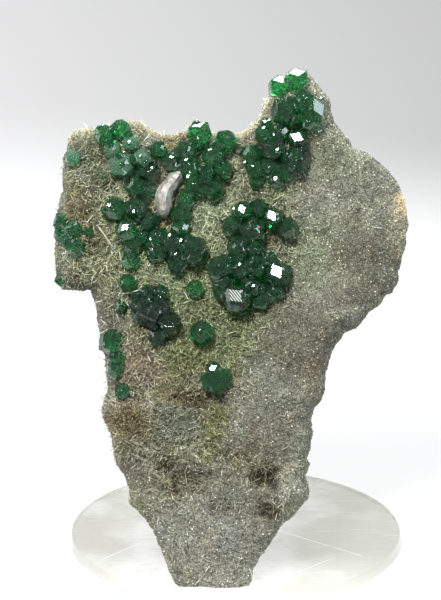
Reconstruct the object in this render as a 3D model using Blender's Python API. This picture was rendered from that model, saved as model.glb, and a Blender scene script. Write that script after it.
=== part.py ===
"""Green grossular garnet on its host rock: dodecahedral crystals, single and in intergrown
clusters, on the front of a broken slab that stands by its flat foot on a clear acrylic disc.

The frame has +Z up and +X to the right, with its origin at the centre of the disc's underside.
The slab's outline and the crystals' places are drawn as they show from the front, in view units,
and each is carried along its line of sight to the depth that the slab's surface has there.
Lengths are in millimetres until a mesh is made."""

import math

import bmesh
import bpy
import numpy as np
from mathutils import Matrix, Vector, geometry

MM = 0.001
GAP = 0.3  # left between pieces that touch

# The clear acrylic disc that the specimen stands on: a two inch round.
DISC_DIAMETER = 50.8
DISC_THICKNESS = 2.0
DISC_EDGE_BREAK = 0.25
DISC_SIDES = 56

# The front view. Its units are set by the disc, which is 328 of them across.
DISC_ACROSS_IN_VIEW = 328
UNIT = DISC_DIAMETER / DISC_ACROSS_IN_VIEW
VIEW_CENTRE = (236, 530)  # where the middle of the disc's top shows, y downwards
VIEW_ELEVATION = math.radians(22.5)
VIEW_DISTANCE = 900.0

# The slab: its front leans back a little, and its thickness goes by the height above the foot.
FACE_LEAN = math.radians(12)
FOOT_EDGE_IN_VIEW = 589
THICKNESS_HEIGHTS = (0, 12, 40, 62, 80)
THICKNESSES = (18.5, 17, 16, 12, 9)
RIM_SHARE = 0.36  # how far behind the front the slab's rim lies, as a share of the thickness
FRONT_ROUNDING = 3.2  # how far in from the rim the front starts to roll off
SHOULDER_ROUNDING = 5.0  # added on the smooth right shoulder
BACK_ROUNDING = 5.5
FRONT_SPACING = 2.5  # between the points of the front's mesh
BACK_SPACING = 3.6
ROUNDING_ROWS = (0.13, 0.45, 1.0)  # where the rolled edge has rows, as shares of its width

# The slab's outline in view units, clockwise from the tip of the horn.
OUTLINE = [
    (300, 71), (307, 71), (313, 77), (319, 85), (325, 92), (330, 98), (331, 110), (334, 121),
    (341, 129), (348, 138), (353, 147), (362, 149), (370, 154), (379, 162), (387, 170), (394, 179),
    (399, 189), (403, 200), (406, 212), (407, 225), (405, 233), (407, 241), (404, 254), (401, 265),
    (398, 271), (398, 280), (391, 291), (384, 295), (382, 302), (370, 310), (362, 320), (357, 327),
    (345, 333), (338, 342), (332, 352), (328, 366), (324, 376), (324, 387), (320, 399), (314, 406),
    (310, 419), (312, 434), (311, 449), (307, 459), (310, 464), (305, 476), (310, 491), (308, 499),
    (300, 507), (290, 519), (279, 526), (271, 541), (261, 555), (253, 567), (254, 590), (250, 612),
    (212, 625), (180, 613), (170, 592), (167, 565), (162, 547), (153, 528), (146, 517), (134, 508),
    (129, 502), (130, 489), (124, 473), (114, 460), (113, 449), (110, 432), (104, 418), (103, 408),
    (108, 392), (107, 374), (105, 355), (100, 338), (97, 318), (94, 302), (90, 290), (76, 290),
    (63, 289), (59, 279), (58, 262), (58, 247), (56, 231), (58, 212), (60, 195), (63, 176),
    (66, 158), (69, 140), (75, 131), (88, 128), (101, 126), (114, 124), (128, 123), (138, 121),
    (146, 126), (153, 131), (166, 133), (179, 131), (191, 127), (203, 127), (213, 133), (227, 135),
    (241, 134), (250, 127), (258, 116), (266, 104), (271, 97), (278, 87), (289, 77),
]  # fmt: skip

# Forms on the slab's front, in view units, with their depths in millimetres.
LEDGE = ((112, 459), (150, 456), (185, 464), (222, 473), (255, 478))
LEDGE_STEP = 1.1
LEDGE_SOFTNESS = 0.5
RIDGE = ((336, 296), (292, 362), (258, 432))
RIDGE_HEIGHT = 1.0
RIDGE_WIDTH = 4.2
PITS = [  # (x, y, radius, depth)
    (165, 464, 9, 1.3),
    (264, 476, 11, 1.5),
    (176, 488, 9, 0.9),
    (268, 508, 9, 0.9),
    (254, 451, 8, 0.7),
    (103, 186, 8, 0.6),
]

# Each garnet as it shows in the view: (x, y, mean radius, lift, facing). The lift is how far its
# middle stands off the rock, in radii. Facing holds the direction that one of its rhombs is
# square to, and how many degrees right of upright that rhomb's long diagonal leans. Where it
# holds nothing, the crystal lies at random.
GLINT = Vector((-0.12, -0.80, 0.59)).normalized()
DULL = Vector((0.22, -0.97, 0.05)).normalized()
GARNETS = {
    "garnet_cluster_upper_left": [
        (104, 135, 12, 0.35, None), (120, 129, 11, 0.5, None), (112, 149, 10.5, 0.3, None),
        (131, 143, 10, 0.2, None), (121, 165, 14, 0.3, None), (141, 158, 10.5, 0.5, (GLINT, 60)),
        (158, 149, 10, 0.3, None), (136, 175, 9.5, 0.25, None), (149, 172, 12, 0.4, None),
        (171, 160, 11.5, 0.45, (GLINT, 85)), (134, 187, 10, 0.45, None), (147, 188, 10, 0.35, None),
        (186, 150, 12.5, 0.4, None), (199, 134, 14, 0.5, None), (213, 156, 13, 0.45, None),
        (226, 141, 12.5, 0.45, None), (222, 169, 11.5, 0.5, None), (190, 168, 13, 0.4, None),
        (206, 177, 11, 0.45, None), (213, 188, 12.5, 0.45, None), (195, 185, 12, 0.35, None),
        (186, 200, 10.5, 0.3, None), (182, 214, 11, 0.35, None), (184, 228, 11, 0.4, (GLINT, 80)),
        (115, 208, 13, 0.5, None), (137, 208, 12.5, 0.45, None), (126, 230, 12, 0.65, (GLINT, 45)),
        (143, 197, 10, 0.25, None), (147, 220, 12, 0.35, None), (132, 245, 11.5, 0.4, None),
        (131, 261, 10.5, 0.4, None), (143, 236, 10, 0.3, None), (159, 238, 11, 0.4, None),
        (156, 252, 12.5, 0.4, None), (173, 244, 11, 0.5, None), (194, 250, 16, 0.45, None),
        (178, 262, 12.5, 0.4, None),
    ],
    "garnet_cluster_horn": [
        (281, 88, 12.5, 0.45, None), (296, 81, 12.5, 0.45, None), (304, 101, 13, 0.5, None),
        (284, 111, 14.5, 0.45, None), (310, 119, 12.5, 0.45, None), (296, 116, 10, 0.3, None),
        (321, 106, 8.5, 0.8, (GLINT, -10)), (264, 134, 11, 0.4, None), (266, 124, 8, 0.5, (GLINT, 60)),
        (280, 131, 10, 0.25, None), (298, 138, 10, 0.55, (GLINT, 110)), (274, 148, 14, 0.45, None),
        (297, 157, 16, 0.5, None), (278, 152, 7, 1.4, (GLINT, 20)), (271, 165, 11, 0.35, None),
        (287, 172, 11.5, 0.35, None), (276, 180, 9, 0.6, (GLINT, 35)), (251, 154, 12, 0.4, None),
        (256, 168, 11.5, 0.4, None), (257, 181, 9.5, 0.25, None),
    ],
    "garnet_cluster_centre": [
        (243, 211, 11, 0.7, (GLINT, -21)), (258, 208, 10.5, 0.35, None),
        (270, 217, 12, 0.65, (GLINT, -33)), (287, 228, 12, 0.45, None), (233, 227, 13, 0.45, None),
        (252, 231, 14.5, 0.45, None), (240, 248, 13.5, 0.45, None), (255, 250, 12, 0.4, None),
        (220, 269, 15, 0.5, None), (239, 269, 13.5, 0.5, None), (256, 269, 12.5, 0.45, None),
        (270, 262, 10.5, 0.4, None), (278, 274, 14.5, 0.6, (GLINT, -35)), (225, 290, 14, 0.4, None),
        (236, 299, 14, 0.65, (GLINT, 60)), (251, 288, 12.5, 0.5, None), (260, 300, 12.5, 0.45, None),
        (274, 292, 12.5, 0.4, None), (241, 309, 9, 0.3, None),
    ],
    "garnet_cluster_lower_left": [
        (152, 307, 22, 0.2, (DULL, 100)), (170, 323, 14.5, 0.4, None), (157, 336, 11.5, 0.3, None),
    ],
    "garnet_cluster_left_edge": [
        (62, 222, 10, 0.45, None), (62, 235, 9.5, 0.5, None), (73, 229, 10, 0.4, None),
        (75, 247, 11, 0.4, None), (71, 239, 8.5, 0.4, None),
    ],
    "garnet_cluster_left_rim": [
        (112, 342, 14, 0.4, None), (118, 357, 11, 0.35, None), (117, 369, 12, 0.4, None),
    ],
    "garnet_trio_lower": [
        (214, 382, 14.5, 0.5, None), (226, 377, 10.5, 0.6, None), (213, 366, 9, 0.4, None),
    ],
    "garnet_single_shoulder": [(73, 158, 9.5, 0.35, None)],
    "garnet_single_ledge": [(62, 280, 8, 0.2, None)],
    "garnet_single_beside_edge": [(88, 232, 6.5, 0.2, None)],
    "garnet_single_mid_left": [(128, 283, 10, 0.4, None)],
    "garnet_single_small": [(121, 306, 7, 0.2, None)],
    "garnet_single_mid": [(195, 289, 9.5, 0.3, None)],
    "garnet_single_middle_right": [(202, 333, 13.5, 0.5, None)],
    "garnet_single_low_left": [(123, 391, 9.5, 0.3, None)],
}  # fmt: skip
GARNET_SEED = 17

# The pale lilac blade that lies among the garnets: its ridge line in view units, with the half
# width there, and how high it stands off the rock in millimetres.
BLADE_RIDGE = [
    (163, 217, 3.0), (164, 210, 7.5), (164, 202, 9.0), (164.5, 194, 8.5), (167, 187, 8.0),
    (172, 181, 7.0), (177, 175, 5.0), (182, 168, 1.5),
]  # fmt: skip
BLADE_HEIGHT = 3.5
BLADE_SIDES = 6


def view_mm(point):
    """Millimetres right of and above the view's centre, from a point in view units."""
    return (point[0] - VIEW_CENTRE[0]) * UNIT, (VIEW_CENTRE[1] - point[1]) * UNIT


def to_world(a, b, depth):
    """The point seen a to the right and b above the view's centre that lies depth behind it."""
    spread = 1 + depth / VIEW_DISTANCE
    y = depth * math.cos(VIEW_ELEVATION) + b * spread * math.sin(VIEW_ELEVATION)
    z = DISC_THICKNESS - depth * math.sin(VIEW_ELEVATION) + b * spread * math.cos(VIEW_ELEVATION)
    return np.stack([a * spread, y, z], axis=-1) * MM


FOOT_HEIGHT = view_mm((0, FOOT_EDGE_IN_VIEW))[1]
FOOT_DEPTH = FOOT_HEIGHT / (math.tan(VIEW_ELEVATION) - FOOT_HEIGHT / VIEW_DISTANCE)
OUTLINE_MM = np.array([view_mm(point) for point in OUTLINE])


def smooth(t):
    t = np.clip(t, 0, 1)
    return t * t * (3 - 2 * t)


def lattice_noise(a, b, cell, seed):
    """Relief from -1 to 1: random heights on a square lattice of that cell, blended smoothly."""
    size = 32
    heights = np.random.default_rng(seed).uniform(-1, 1, (size, size))
    u, v = a / cell + size / 2, b / cell + size / 2
    i, j = np.floor(u).astype(int), np.floor(v).astype(int)
    across, up = smooth(u - i), smooth(v - j)
    i, j = i % size, j % size
    i_next, j_next = (i + 1) % size, (j + 1) % size
    low = heights[i, j] * (1 - across) + heights[i_next, j] * across
    high = heights[i, j_next] * (1 - across) + heights[i_next, j_next] * across
    return low * (1 - up) + high * up


def rim_distance(a, b):
    """How far each point lies from the slab's outline."""
    starts = OUTLINE_MM
    sides = np.roll(starts, -1, axis=0) - starts
    offsets = np.stack([a, b], axis=-1)[..., None, :] - starts
    share = np.clip((offsets * sides).sum(-1) / (sides**2).sum(-1), 0, 1)
    distance = np.linalg.norm(offsets - share[..., None] * sides, axis=-1).min(-1)
    return np.where(distance < 1e-3, 0, distance)


def line_distance(a, b, line):
    """How far each point lies from a line of view points, and how far above it, by height."""
    points = np.array([view_mm(point) for point in line])
    ends = points[1:] - points[:-1]
    offsets = np.stack([a, b], axis=-1)[..., None, :] - points[:-1]
    share = np.clip((offsets * ends).sum(-1) / (ends**2).sum(-1), 0, 1)
    distance = np.linalg.norm(offsets - share[..., None] * ends, axis=-1).min(-1)
    order = np.argsort(points[:, 0])
    above = b - np.interp(a, points[order, 0], points[order, 1])
    return distance, above


def face_plane(b):
    """The depth of the slab's leaning front plane at a height."""
    return FOOT_DEPTH - (b - FOOT_HEIGHT) * math.tan(VIEW_ELEVATION - FACE_LEAN)


def thickness(b):
    return np.interp(b - FOOT_HEIGHT, THICKNESS_HEIGHTS, THICKNESSES)


def rim_depth(a, b):
    return RIM_SHARE * thickness(b) * (1 + 0.25 * lattice_noise(a, b, 9, 4))


def edge_share(a, b, rounding):
    """0 at the rim and 1 where the face is flat: the cosine of a quarter round of that width."""
    t = np.clip(rim_distance(a, b) / rounding, 0, 1)
    return np.sqrt(1 - (1 - t) ** 2)


def front_rounding(a, b):
    shoulder = smooth((a - view_mm((325, 0))[0]) / 9) * smooth((b - view_mm((0, 330))[1]) / 9)
    return FRONT_ROUNDING + SHOULDER_ROUNDING * shoulder + 0.9 * lattice_noise(a, b, 10, 9)


def front_relief(a, b):
    """The front's broken forms: swells, a ledge over the foot, a ridge and a few pits."""
    relief = 0.8 * lattice_noise(a, b, 13, 1) + 0.45 * lattice_noise(a, b, 6, 2)
    relief += 0.2 * lattice_noise(a, b, 3, 3)
    relief += 2.4 * np.clip((a - view_mm((300, 0))[0]) / 16, 0, 2) ** 2
    _, above = line_distance(a, b, LEDGE)
    beside = smooth((view_mm((262, 0))[0] - a) / 4)
    relief += LEDGE_STEP * (1 - smooth(above / LEDGE_SOFTNESS + 0.5)) * beside
    ridge, _ = line_distance(a, b, RIDGE)
    relief -= RIDGE_HEIGHT * np.exp(-((ridge / RIDGE_WIDTH) ** 2))
    for x, y, radius, depth in PITS:
        middle_a, middle_b = view_mm((x, y))
        off = np.hypot(a - middle_a, b - middle_b) / (radius * UNIT)
        relief += depth * np.exp(-(off**2) * 1.5)
    return relief


def front_depth(a, b):
    edge = edge_share(a, b, front_rounding(a, b))
    return face_plane(b) + rim_depth(a, b) * (1 - edge) + front_relief(a, b) * edge


def back_depth(a, b):
    relief = 1.5 * lattice_noise(a, b, 15, 5) + 0.9 * lattice_noise(a, b, 7, 6)
    relief += 0.4 * lattice_noise(a, b, 3.5, 7)
    edge = edge_share(a, b, BACK_ROUNDING)
    behind_rim = thickness(b) - rim_depth(a, b)
    return face_plane(b) + thickness(b) - behind_rim * (1 - edge) + relief * edge


def inside_outline(a, b):
    """True where a point lies inside the outline, by counting the sides crossed to its right."""
    inside = np.zeros(np.shape(a), bool)
    for (x1, y1), (x2, y2) in zip(OUTLINE_MM, np.roll(OUTLINE_MM, -1, axis=0)):
        if y1 == y2:
            continue
        crosses = (b < y1) != (b < y2)
        inside ^= crosses & (a < x1 + (b - y1) * (x2 - x1) / (y2 - y1))
    return inside


def sheet_points(spacing, rounding):
    """Points for one face of the slab: rows along the rolled edge, then an even lattice inside."""
    before = np.roll(OUTLINE_MM, 1, axis=0)
    after = np.roll(OUTLINE_MM, -1, axis=0)
    along = (after - before) / np.linalg.norm(after - before, axis=1, keepdims=True)
    inwards = np.stack([along[:, 1], -along[:, 0]], axis=1)
    widths = rounding(OUTLINE_MM[:, 0], OUTLINE_MM[:, 1])[:, None]
    rows = [OUTLINE_MM + inwards * widths * share for share in ROUNDING_ROWS]
    low, high = OUTLINE_MM.min(0), OUTLINE_MM.max(0)
    step_up = spacing * math.sqrt(3) / 2
    heights = np.arange(low[1], high[1], step_up)
    lattice = [
        (x + (row % 2) * spacing / 2, height)
        for row, height in enumerate(heights)
        for x in np.arange(low[0], high[0], spacing)
    ]
    lattice = np.array(lattice)
    clear = rim_distance(*lattice.T) > rounding(*lattice.T) + spacing / 2
    kept = [lattice[clear & inside_outline(*lattice.T)]]
    for share, row in zip(ROUNDING_ROWS, rows):
        off_rim = rim_distance(*row.T) > 0.8 * share * rounding(*row.T)
        kept.append(row[off_rim & inside_outline(*row.T)])
    return np.concatenate(kept)


def face_sheet(spacing, rounding, depth, backwards):
    """One face of the slab as points in the world and triangles, its rim on the outline."""
    points = np.concatenate([OUTLINE_MM, sheet_points(spacing, rounding)])
    ring = list(range(len(OUTLINE_MM)))
    flat, _, faces, *_ = geometry.delaunay_2d_cdt(
        [Vector(point) for point in points], [], [ring], 1, 1e-4
    )
    flat = np.array([tuple(point) for point in flat])
    world = to_world(*flat.T, depth(*flat.T))
    return world, [face[::-1] if backwards else face for face in faces]


def add_object(name, mesh, material):
    made = bpy.data.objects.new(name, mesh)
    bpy.context.scene.collection.objects.link(made)
    mesh.materials.append(material)
    return made


def slab_mesh(name, grown_by=0.0):
    """The slab as one closed mesh, grown outwards by that many millimetres."""
    form = bmesh.new()
    sheets = [
        face_sheet(FRONT_SPACING, front_rounding, front_depth, False),
        face_sheet(BACK_SPACING, lambda a, b: BACK_ROUNDING + 0 * a, back_depth, True),
    ]
    for points, faces in sheets:
        corners = [form.verts.new(point) for point in points]
        for face in faces:
            form.faces.new([corners[i] for i in face])
    bmesh.ops.remove_doubles(form, verts=form.verts, dist=1e-7)
    bmesh.ops.recalc_face_normals(form, faces=form.faces)
    form.normal_update()
    moves = [corner.normal * grown_by * MM for corner in form.verts]
    for corner, move in zip(form.verts, moves):
        corner.co += move
    mesh = bpy.data.meshes.new(name)
    form.to_mesh(mesh)
    form.free()
    return mesh


def cut_foot(mesh):
    """Cuts the slab off flat just above the disc's top and closes the cut."""
    form = bmesh.new()
    form.from_mesh(mesh)
    everything = form.verts[:] + form.edges[:] + form.faces[:]
    level = Vector((0, 0, (DISC_THICKNESS + GAP) * MM))
    cut = bmesh.ops.bisect_plane(
        form, geom=everything, dist=1e-7, plane_co=level, plane_no=(0, 0, -1), clear_outer=True
    )
    edges = [item for item in cut["geom_cut"] if isinstance(item, bmesh.types.BMEdge)]
    bmesh.ops.contextual_create(form, geom=edges)
    bmesh.ops.triangulate(form, faces=form.faces)
    bmesh.ops.recalc_face_normals(form, faces=form.faces)
    form.to_mesh(mesh)
    form.free()


def garnet_turn(index, facing):
    """A crystal's turn: one rhomb square to its facing direction, or random from its own seed."""
    if facing is None:
        angles = np.random.default_rng(GARNET_SEED + index).uniform(0, 2 * math.pi, 3)
        spun = Matrix.Rotation(angles[0], 3, "X") @ Matrix.Rotation(angles[1], 3, "Y")
        return spun @ Matrix.Rotation(angles[2], 3, "Z")
    normal, lean_degrees = facing
    lean = math.radians(lean_degrees)
    right = Vector((0, 0, 1)).cross(-normal).normalized()
    upright = right.cross(-normal)
    long_diagonal = upright * math.cos(lean) + right * math.sin(lean)
    placed = (normal, long_diagonal, long_diagonal.cross(normal))
    in_crystal = (Vector((1, 1, 0)).normalized(), Vector((1, -1, 0)).normalized(), Vector((0, 0, 1)))
    return Matrix(placed).transposed() @ Matrix(in_crystal)


def dodecahedron_corners(mean_radius):
    """The 14 corners of a rhombic dodecahedron whose outline has about that radius."""
    half = mean_radius / 1.78
    threefold = [(x, y, z) for x in (-half, half) for y in (-half, half) for z in (-half, half)]
    fourfold = [
        tuple(side * 2 * half if axis == i else 0 for i in range(3))
        for axis in range(3)
        for side in (-1, 1)
    ]
    return threefold + fourfold


def garnet_mesh(name, crystals, first_index):
    """All crystals of one node as overlapping closed shells, each set on the rock's front."""
    form = bmesh.new()
    for number, (x, y, radius, lift, facing) in enumerate(crystals):
        a, b = view_mm((x, y))
        radius_mm = radius * UNIT
        middle = to_world(a, b, front_depth(np.array(a), np.array(b)) - lift * radius_mm)
        turned = garnet_turn(first_index + number, facing)
        corners = [
            form.verts.new(Vector(middle) + turned @ Vector(corner) * MM)
            for corner in dodecahedron_corners(radius_mm)
        ]
        hull = bmesh.ops.convex_hull(form, input=corners, use_existing_faces=False)
        bmesh.ops.delete(form, geom=hull["geom_unused"], context="VERTS")
    bmesh.ops.recalc_face_normals(form, faces=form.faces)
    mesh = bpy.data.meshes.new(name)
    form.to_mesh(mesh)
    form.free()
    return mesh


def blade_mesh(name, grown_by=0.0):
    """The lilac blade: six-sided sections along its ridge line, closed at both ends."""
    form = bmesh.new()
    rings = []
    line = np.array([view_mm(point) for point in BLADE_RIDGE])
    along = np.gradient(line, axis=0)
    along /= np.linalg.norm(along, axis=1, keepdims=True)
    for (a, b), (run_a, run_b), (_, _, half_width) in zip(line, along, BLADE_RIDGE):
        half = half_width * UNIT + grown_by
        high = BLADE_HEIGHT * min(1, half_width / 7) + grown_by
        ring = []
        for corner in range(BLADE_SIDES):
            angle = 2 * math.pi * (corner + 0.5) / BLADE_SIDES
            side, off = half * math.cos(angle), high * math.sin(angle)
            at_a, at_b = a + side * run_b, b - side * run_a
            depth = front_depth(np.array(a), np.array(b)) - off
            ring.append(form.verts.new(to_world(at_a, at_b, depth)))
        rings.append(ring)
    for ring, following in zip(rings, rings[1:]):
        for corner in range(BLADE_SIDES):
            beside = (corner + 1) % BLADE_SIDES
            form.faces.new([ring[corner], ring[beside], following[beside], following[corner]])
    form.faces.new(rings[0])
    form.faces.new(rings[-1])
    bmesh.ops.triangulate(form, faces=form.faces)
    bmesh.ops.recalc_face_normals(form, faces=form.faces)
    mesh = bpy.data.meshes.new(name)
    form.to_mesh(mesh)
    form.free()
    return mesh


def plain_material(name, colour, roughness, transmission=0.0, ior=1.5):
    made = bpy.data.materials.new(name)
    made.use_nodes = True
    shader = made.node_tree.nodes["Principled BSDF"]
    shader.inputs["Base Color"].default_value = (*colour, 1)
    shader.inputs["Roughness"].default_value = roughness
    shader.inputs["Transmission Weight"].default_value = transmission
    shader.inputs["IOR"].default_value = ior
    made.diffuse_color = (*colour, 1)
    return made


def helper(name, mesh):
    """A cutter: drawn as wire and left out of the part."""
    made = bpy.data.objects.new(name, mesh)
    bpy.context.scene.collection.objects.link(made)
    made.hide_render = True
    made.display_type = "WIRE"
    return made


def cut_by(target, cutter, joins_itself=False):
    cut = target.modifiers.new("seat", "BOOLEAN")
    cut.operation = "DIFFERENCE"
    cut.solver = "EXACT"
    cut.object = cutter
    cut.use_self = joins_itself


def add_disc(material):
    """The acrylic disc, lying on the ground, with its sharp edges broken."""
    form = bmesh.new()
    radius = DISC_DIAMETER / 2 * MM
    bmesh.ops.create_cone(
        form,
        cap_ends=True,
        segments=DISC_SIDES,
        radius1=radius,
        radius2=radius,
        depth=DISC_THICKNESS * MM,
    )
    bmesh.ops.translate(form, verts=form.verts, vec=(0, 0, DISC_THICKNESS / 2 * MM))
    mesh = bpy.data.meshes.new("acrylic_disc")
    form.to_mesh(mesh)
    form.free()
    mesh.shade_smooth()
    mesh.set_sharp_from_angle(angle=math.radians(30))
    disc = add_object("acrylic_disc", mesh, material)
    edge = disc.modifiers.new("edge", "BEVEL")
    edge.width = DISC_EDGE_BREAK * MM
    edge.segments = 1
    edge.limit_method = "ANGLE"
    edge.angle_limit = math.radians(60)


def main():
    for old in list(bpy.data.objects):
        bpy.data.objects.remove(old)
    acrylic = plain_material("clear_acrylic", (0.95, 0.96, 0.96), 0.05, 1.0, 1.49)
    rock = plain_material("host_rock", (0.30, 0.29, 0.23), 0.8)
    garnet = plain_material("green_garnet", (0.01, 0.16, 0.05), 0.08, 0.0, 1.74)
    lilac = plain_material("lilac_blade", (0.52, 0.44, 0.46), 0.4)

    add_disc(acrylic)
    slab = slab_mesh("host_rock")
    cut_foot(slab)
    add_object("host_rock", slab, rock)

    seat = helper("rock_seat", slab_mesh("rock_seat", GAP))
    blade_room = helper("blade_room", blade_mesh("blade_room", GAP))
    blade = add_object("lilac_blade", blade_mesh("lilac_blade"), lilac)
    cut_by(blade, seat)

    index = 0
    for name, crystals in GARNETS.items():
        made = add_object(name, garnet_mesh(name, crystals, index), garnet)
        index += len(crystals)
        cut_by(made, seat, joins_itself=len(crystals) > 1)
        if name == "garnet_cluster_upper_left":
            cut_by(made, blade_room)


main()
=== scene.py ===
"""Green grossular garnets on their host rock, standing on a clear display disc: the dressed model.

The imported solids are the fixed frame: +Z is up, +X is right seen from the front, and the crystals
face -Y. Lengths are in millimetres until a mesh is made."""

import math

import bmesh
import bpy
import numpy as np
from mathutils import Matrix, Vector


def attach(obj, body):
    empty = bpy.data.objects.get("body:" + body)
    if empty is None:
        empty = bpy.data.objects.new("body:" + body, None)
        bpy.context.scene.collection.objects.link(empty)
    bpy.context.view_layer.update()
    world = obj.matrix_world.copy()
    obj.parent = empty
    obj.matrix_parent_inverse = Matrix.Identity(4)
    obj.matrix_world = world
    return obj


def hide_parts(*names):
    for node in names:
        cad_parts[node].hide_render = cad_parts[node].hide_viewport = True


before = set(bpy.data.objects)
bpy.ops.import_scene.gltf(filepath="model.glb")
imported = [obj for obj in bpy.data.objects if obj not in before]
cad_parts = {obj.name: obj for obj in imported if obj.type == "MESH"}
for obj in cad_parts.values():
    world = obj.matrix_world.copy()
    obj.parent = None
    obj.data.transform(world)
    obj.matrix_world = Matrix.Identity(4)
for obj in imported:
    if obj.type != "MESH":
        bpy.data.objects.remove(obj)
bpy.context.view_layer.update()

# 1. The display disc: a two inch round of clear cast acrylic with its edge polished round. Years
# of handling have covered both faces with fine scratches. It lies loose on the floor.

MM = 0.001
DISC_RADIUS = 25.4
DISC_THICKNESS = 2.0
DISC_EDGE_ROUND = 0.25
DISC_SIDES = 240
ACRYLIC = "#fdfdf9"
ACRYLIC_HAZE_AND_SHADE = "#d0d0c2"
ACRYLIC_SCUFF = "#aaaa9c"
# The disc's base colour is painted greyer towards both sides as shade. It is lightest this far right of the
# middle.
LIGHTEST_AT = -4  # how far right of the middle the disc looks clearest: it greys to both sides
GREYS_OVER = 21
GREYING = (-0.3, 0.18)  # there, and that far to each side of it
SCRATCH_SETS = ((24, 0.45, 12, 0.66), (-34, 0.5, 14, 0.68), (71, 0.6, 9, 0.7))  # as scratch_lines says
SCUFF_SETS = ((-8, 0.5, 3.5, 0.6), (38, 0.5, 3.5, 0.62))
SCUFF_STRENGTH = 0.4
LONG_SCRATCHES = (  # (start, end, width) on the disc's top
    ((-20.5, -11.8), (-13.8, -4.1), 0.3),
    ((6, 0.4), (19.3, -10.2), 0.25),
    ((9, -17), (15, -11), 0.2),
)


def linear(code):
    """The linear colour of an sRGB hex code, with a full alpha."""
    shares = [int(code[i : i + 2], 16) / 255 for i in (1, 3, 5)]
    return (*[s / 12.92 if s <= 0.04045 else ((s + 0.055) / 1.055) ** 2.4 for s in shares], 1)


def add_node(tree, kind, inputs=None, **settings):
    """Adds a node with its settings. Each input takes a value, or a socket to link from."""
    made = tree.nodes.new(kind)
    for name, value in settings.items():
        setattr(made, name, value)
    for name, value in (inputs or {}).items():
        if isinstance(value, bpy.types.NodeSocket):
            tree.links.new(value, made.inputs[name])
        else:
            made.inputs[name].default_value = value
    return made


def new_material(name, **sockets):
    """A material of one Principled shader with those socket values: itself, its node tree, the
    shader, and the place on the object, which its patterns follow."""
    made = bpy.data.materials.new(name)
    made.use_nodes = True
    shader = made.node_tree.nodes["Principled BSDF"]
    for socket, value in sockets.items():
        shader.inputs[socket.replace("_", " ")].default_value = value
    place = add_node(made.node_tree, "ShaderNodeTexCoord").outputs["Object"]
    return made, made.node_tree, shader, place


def mesh_of(name, points, faces):
    """A mesh from an array of points in metres and an array of faces with equal corner counts."""
    made = bpy.data.meshes.new(name)
    made.vertices.add(len(points))
    made.vertices.foreach_set("co", np.ascontiguousarray(points, np.float32).ravel())
    made.loops.add(faces.size)
    made.loops.foreach_set("vertex_index", np.ascontiguousarray(faces, np.int32).ravel())
    made.polygons.add(len(faces))
    made.polygons.foreach_set("loop_start", np.arange(0, faces.size, faces.shape[1], dtype=np.int32))
    made.update(calc_edges=True)
    return made


def closed_surface(name, grid):
    """A closed skin over a grid of points: rows run one way and columns round a loop. Points that
    coincide, as at a pole or a seam, become one, and the faces are turned outwards."""
    rows, columns = grid.shape[:2]
    i, j = np.meshgrid(np.arange(rows - 1), np.arange(columns), indexing="ij")
    beside = (j + 1) % columns
    corners = [i * columns + j, i * columns + beside, (i + 1) * columns + beside, (i + 1) * columns + j]
    made = mesh_of(name, grid.reshape(-1, 3), np.stack(corners, axis=-1).reshape(-1, 4))
    form = bmesh.new()
    form.from_mesh(made)
    bmesh.ops.remove_doubles(form, verts=form.verts, dist=1e-7)
    bmesh.ops.dissolve_degenerate(form, edges=form.edges, dist=1e-8)
    bmesh.ops.recalc_face_normals(form, faces=form.faces)
    form.to_mesh(made)
    form.free()
    return made


def add_piece(name, mesh, material, replaces=(), sharp_angle=None):
    """Puts a finished mesh in the scene as a piece that goes with the specimen."""
    made = bpy.data.objects.new(name, mesh)
    bpy.context.scene.collection.objects.link(made)
    mesh.materials.clear()
    mesh.materials.append(material)
    if sharp_angle is not None:
        mesh.shade_smooth()
        mesh.set_sharp_from_angle(angle=math.radians(sharp_angle))
    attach(made, "root")
    if replaces:
        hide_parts(*replaces)
    return made


def turned(profile, sides):
    """A profile of (radius, height) carried round the upright axis: x = r cos u, y = r sin u."""
    turn = np.linspace(0, 2 * math.pi, sides, endpoint=False)
    radius, height = np.array(profile).T
    x = radius[:, None] * np.cos(turn)
    y = radius[:, None] * np.sin(turn)
    z = np.repeat(height[:, None], sides, axis=1)
    return np.stack([x, y, z], axis=-1) * MM


def disc_profile():
    """From the underside's middle out, round both corners of the edge, and in over the top."""
    quarter = np.linspace(0, math.pi / 2, 7)
    inner = DISC_RADIUS - DISC_EDGE_ROUND
    low = [(inner + DISC_EDGE_ROUND * math.sin(t), DISC_EDGE_ROUND * (1 - math.cos(t))) for t in quarter]
    high = [(radius, DISC_THICKNESS - height) for radius, height in reversed(low)]
    return [(0, 0), (inner * 0.6, 0), *low, *high, (inner * 0.6, DISC_THICKNESS), (0, DISC_THICKNESS)]


def scratch_lines(tree, place, angle, spacing, along, threshold):
    """Fine straight scratches that lie one way, that far apart and that long: noise drawn out
    along them, and only its peaks above the threshold."""
    drawn_out = (1 / (along * MM), 1 / (spacing * MM), 0)
    turn = (0, 0, math.radians(angle))
    turned_place = add_node(
        tree, "ShaderNodeMapping", {"Vector": place, "Rotation": turn, "Scale": drawn_out}
    ).outputs[0]
    noise = add_node(tree, "ShaderNodeTexNoise", {"Vector": turned_place, "Scale": 1, "Detail": 2}).outputs[0]
    return add_node(
        tree, "ShaderNodeMapRange", {"Value": noise, "From Min": threshold, "From Max": threshold + 0.08}
    ).outputs[0]


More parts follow.
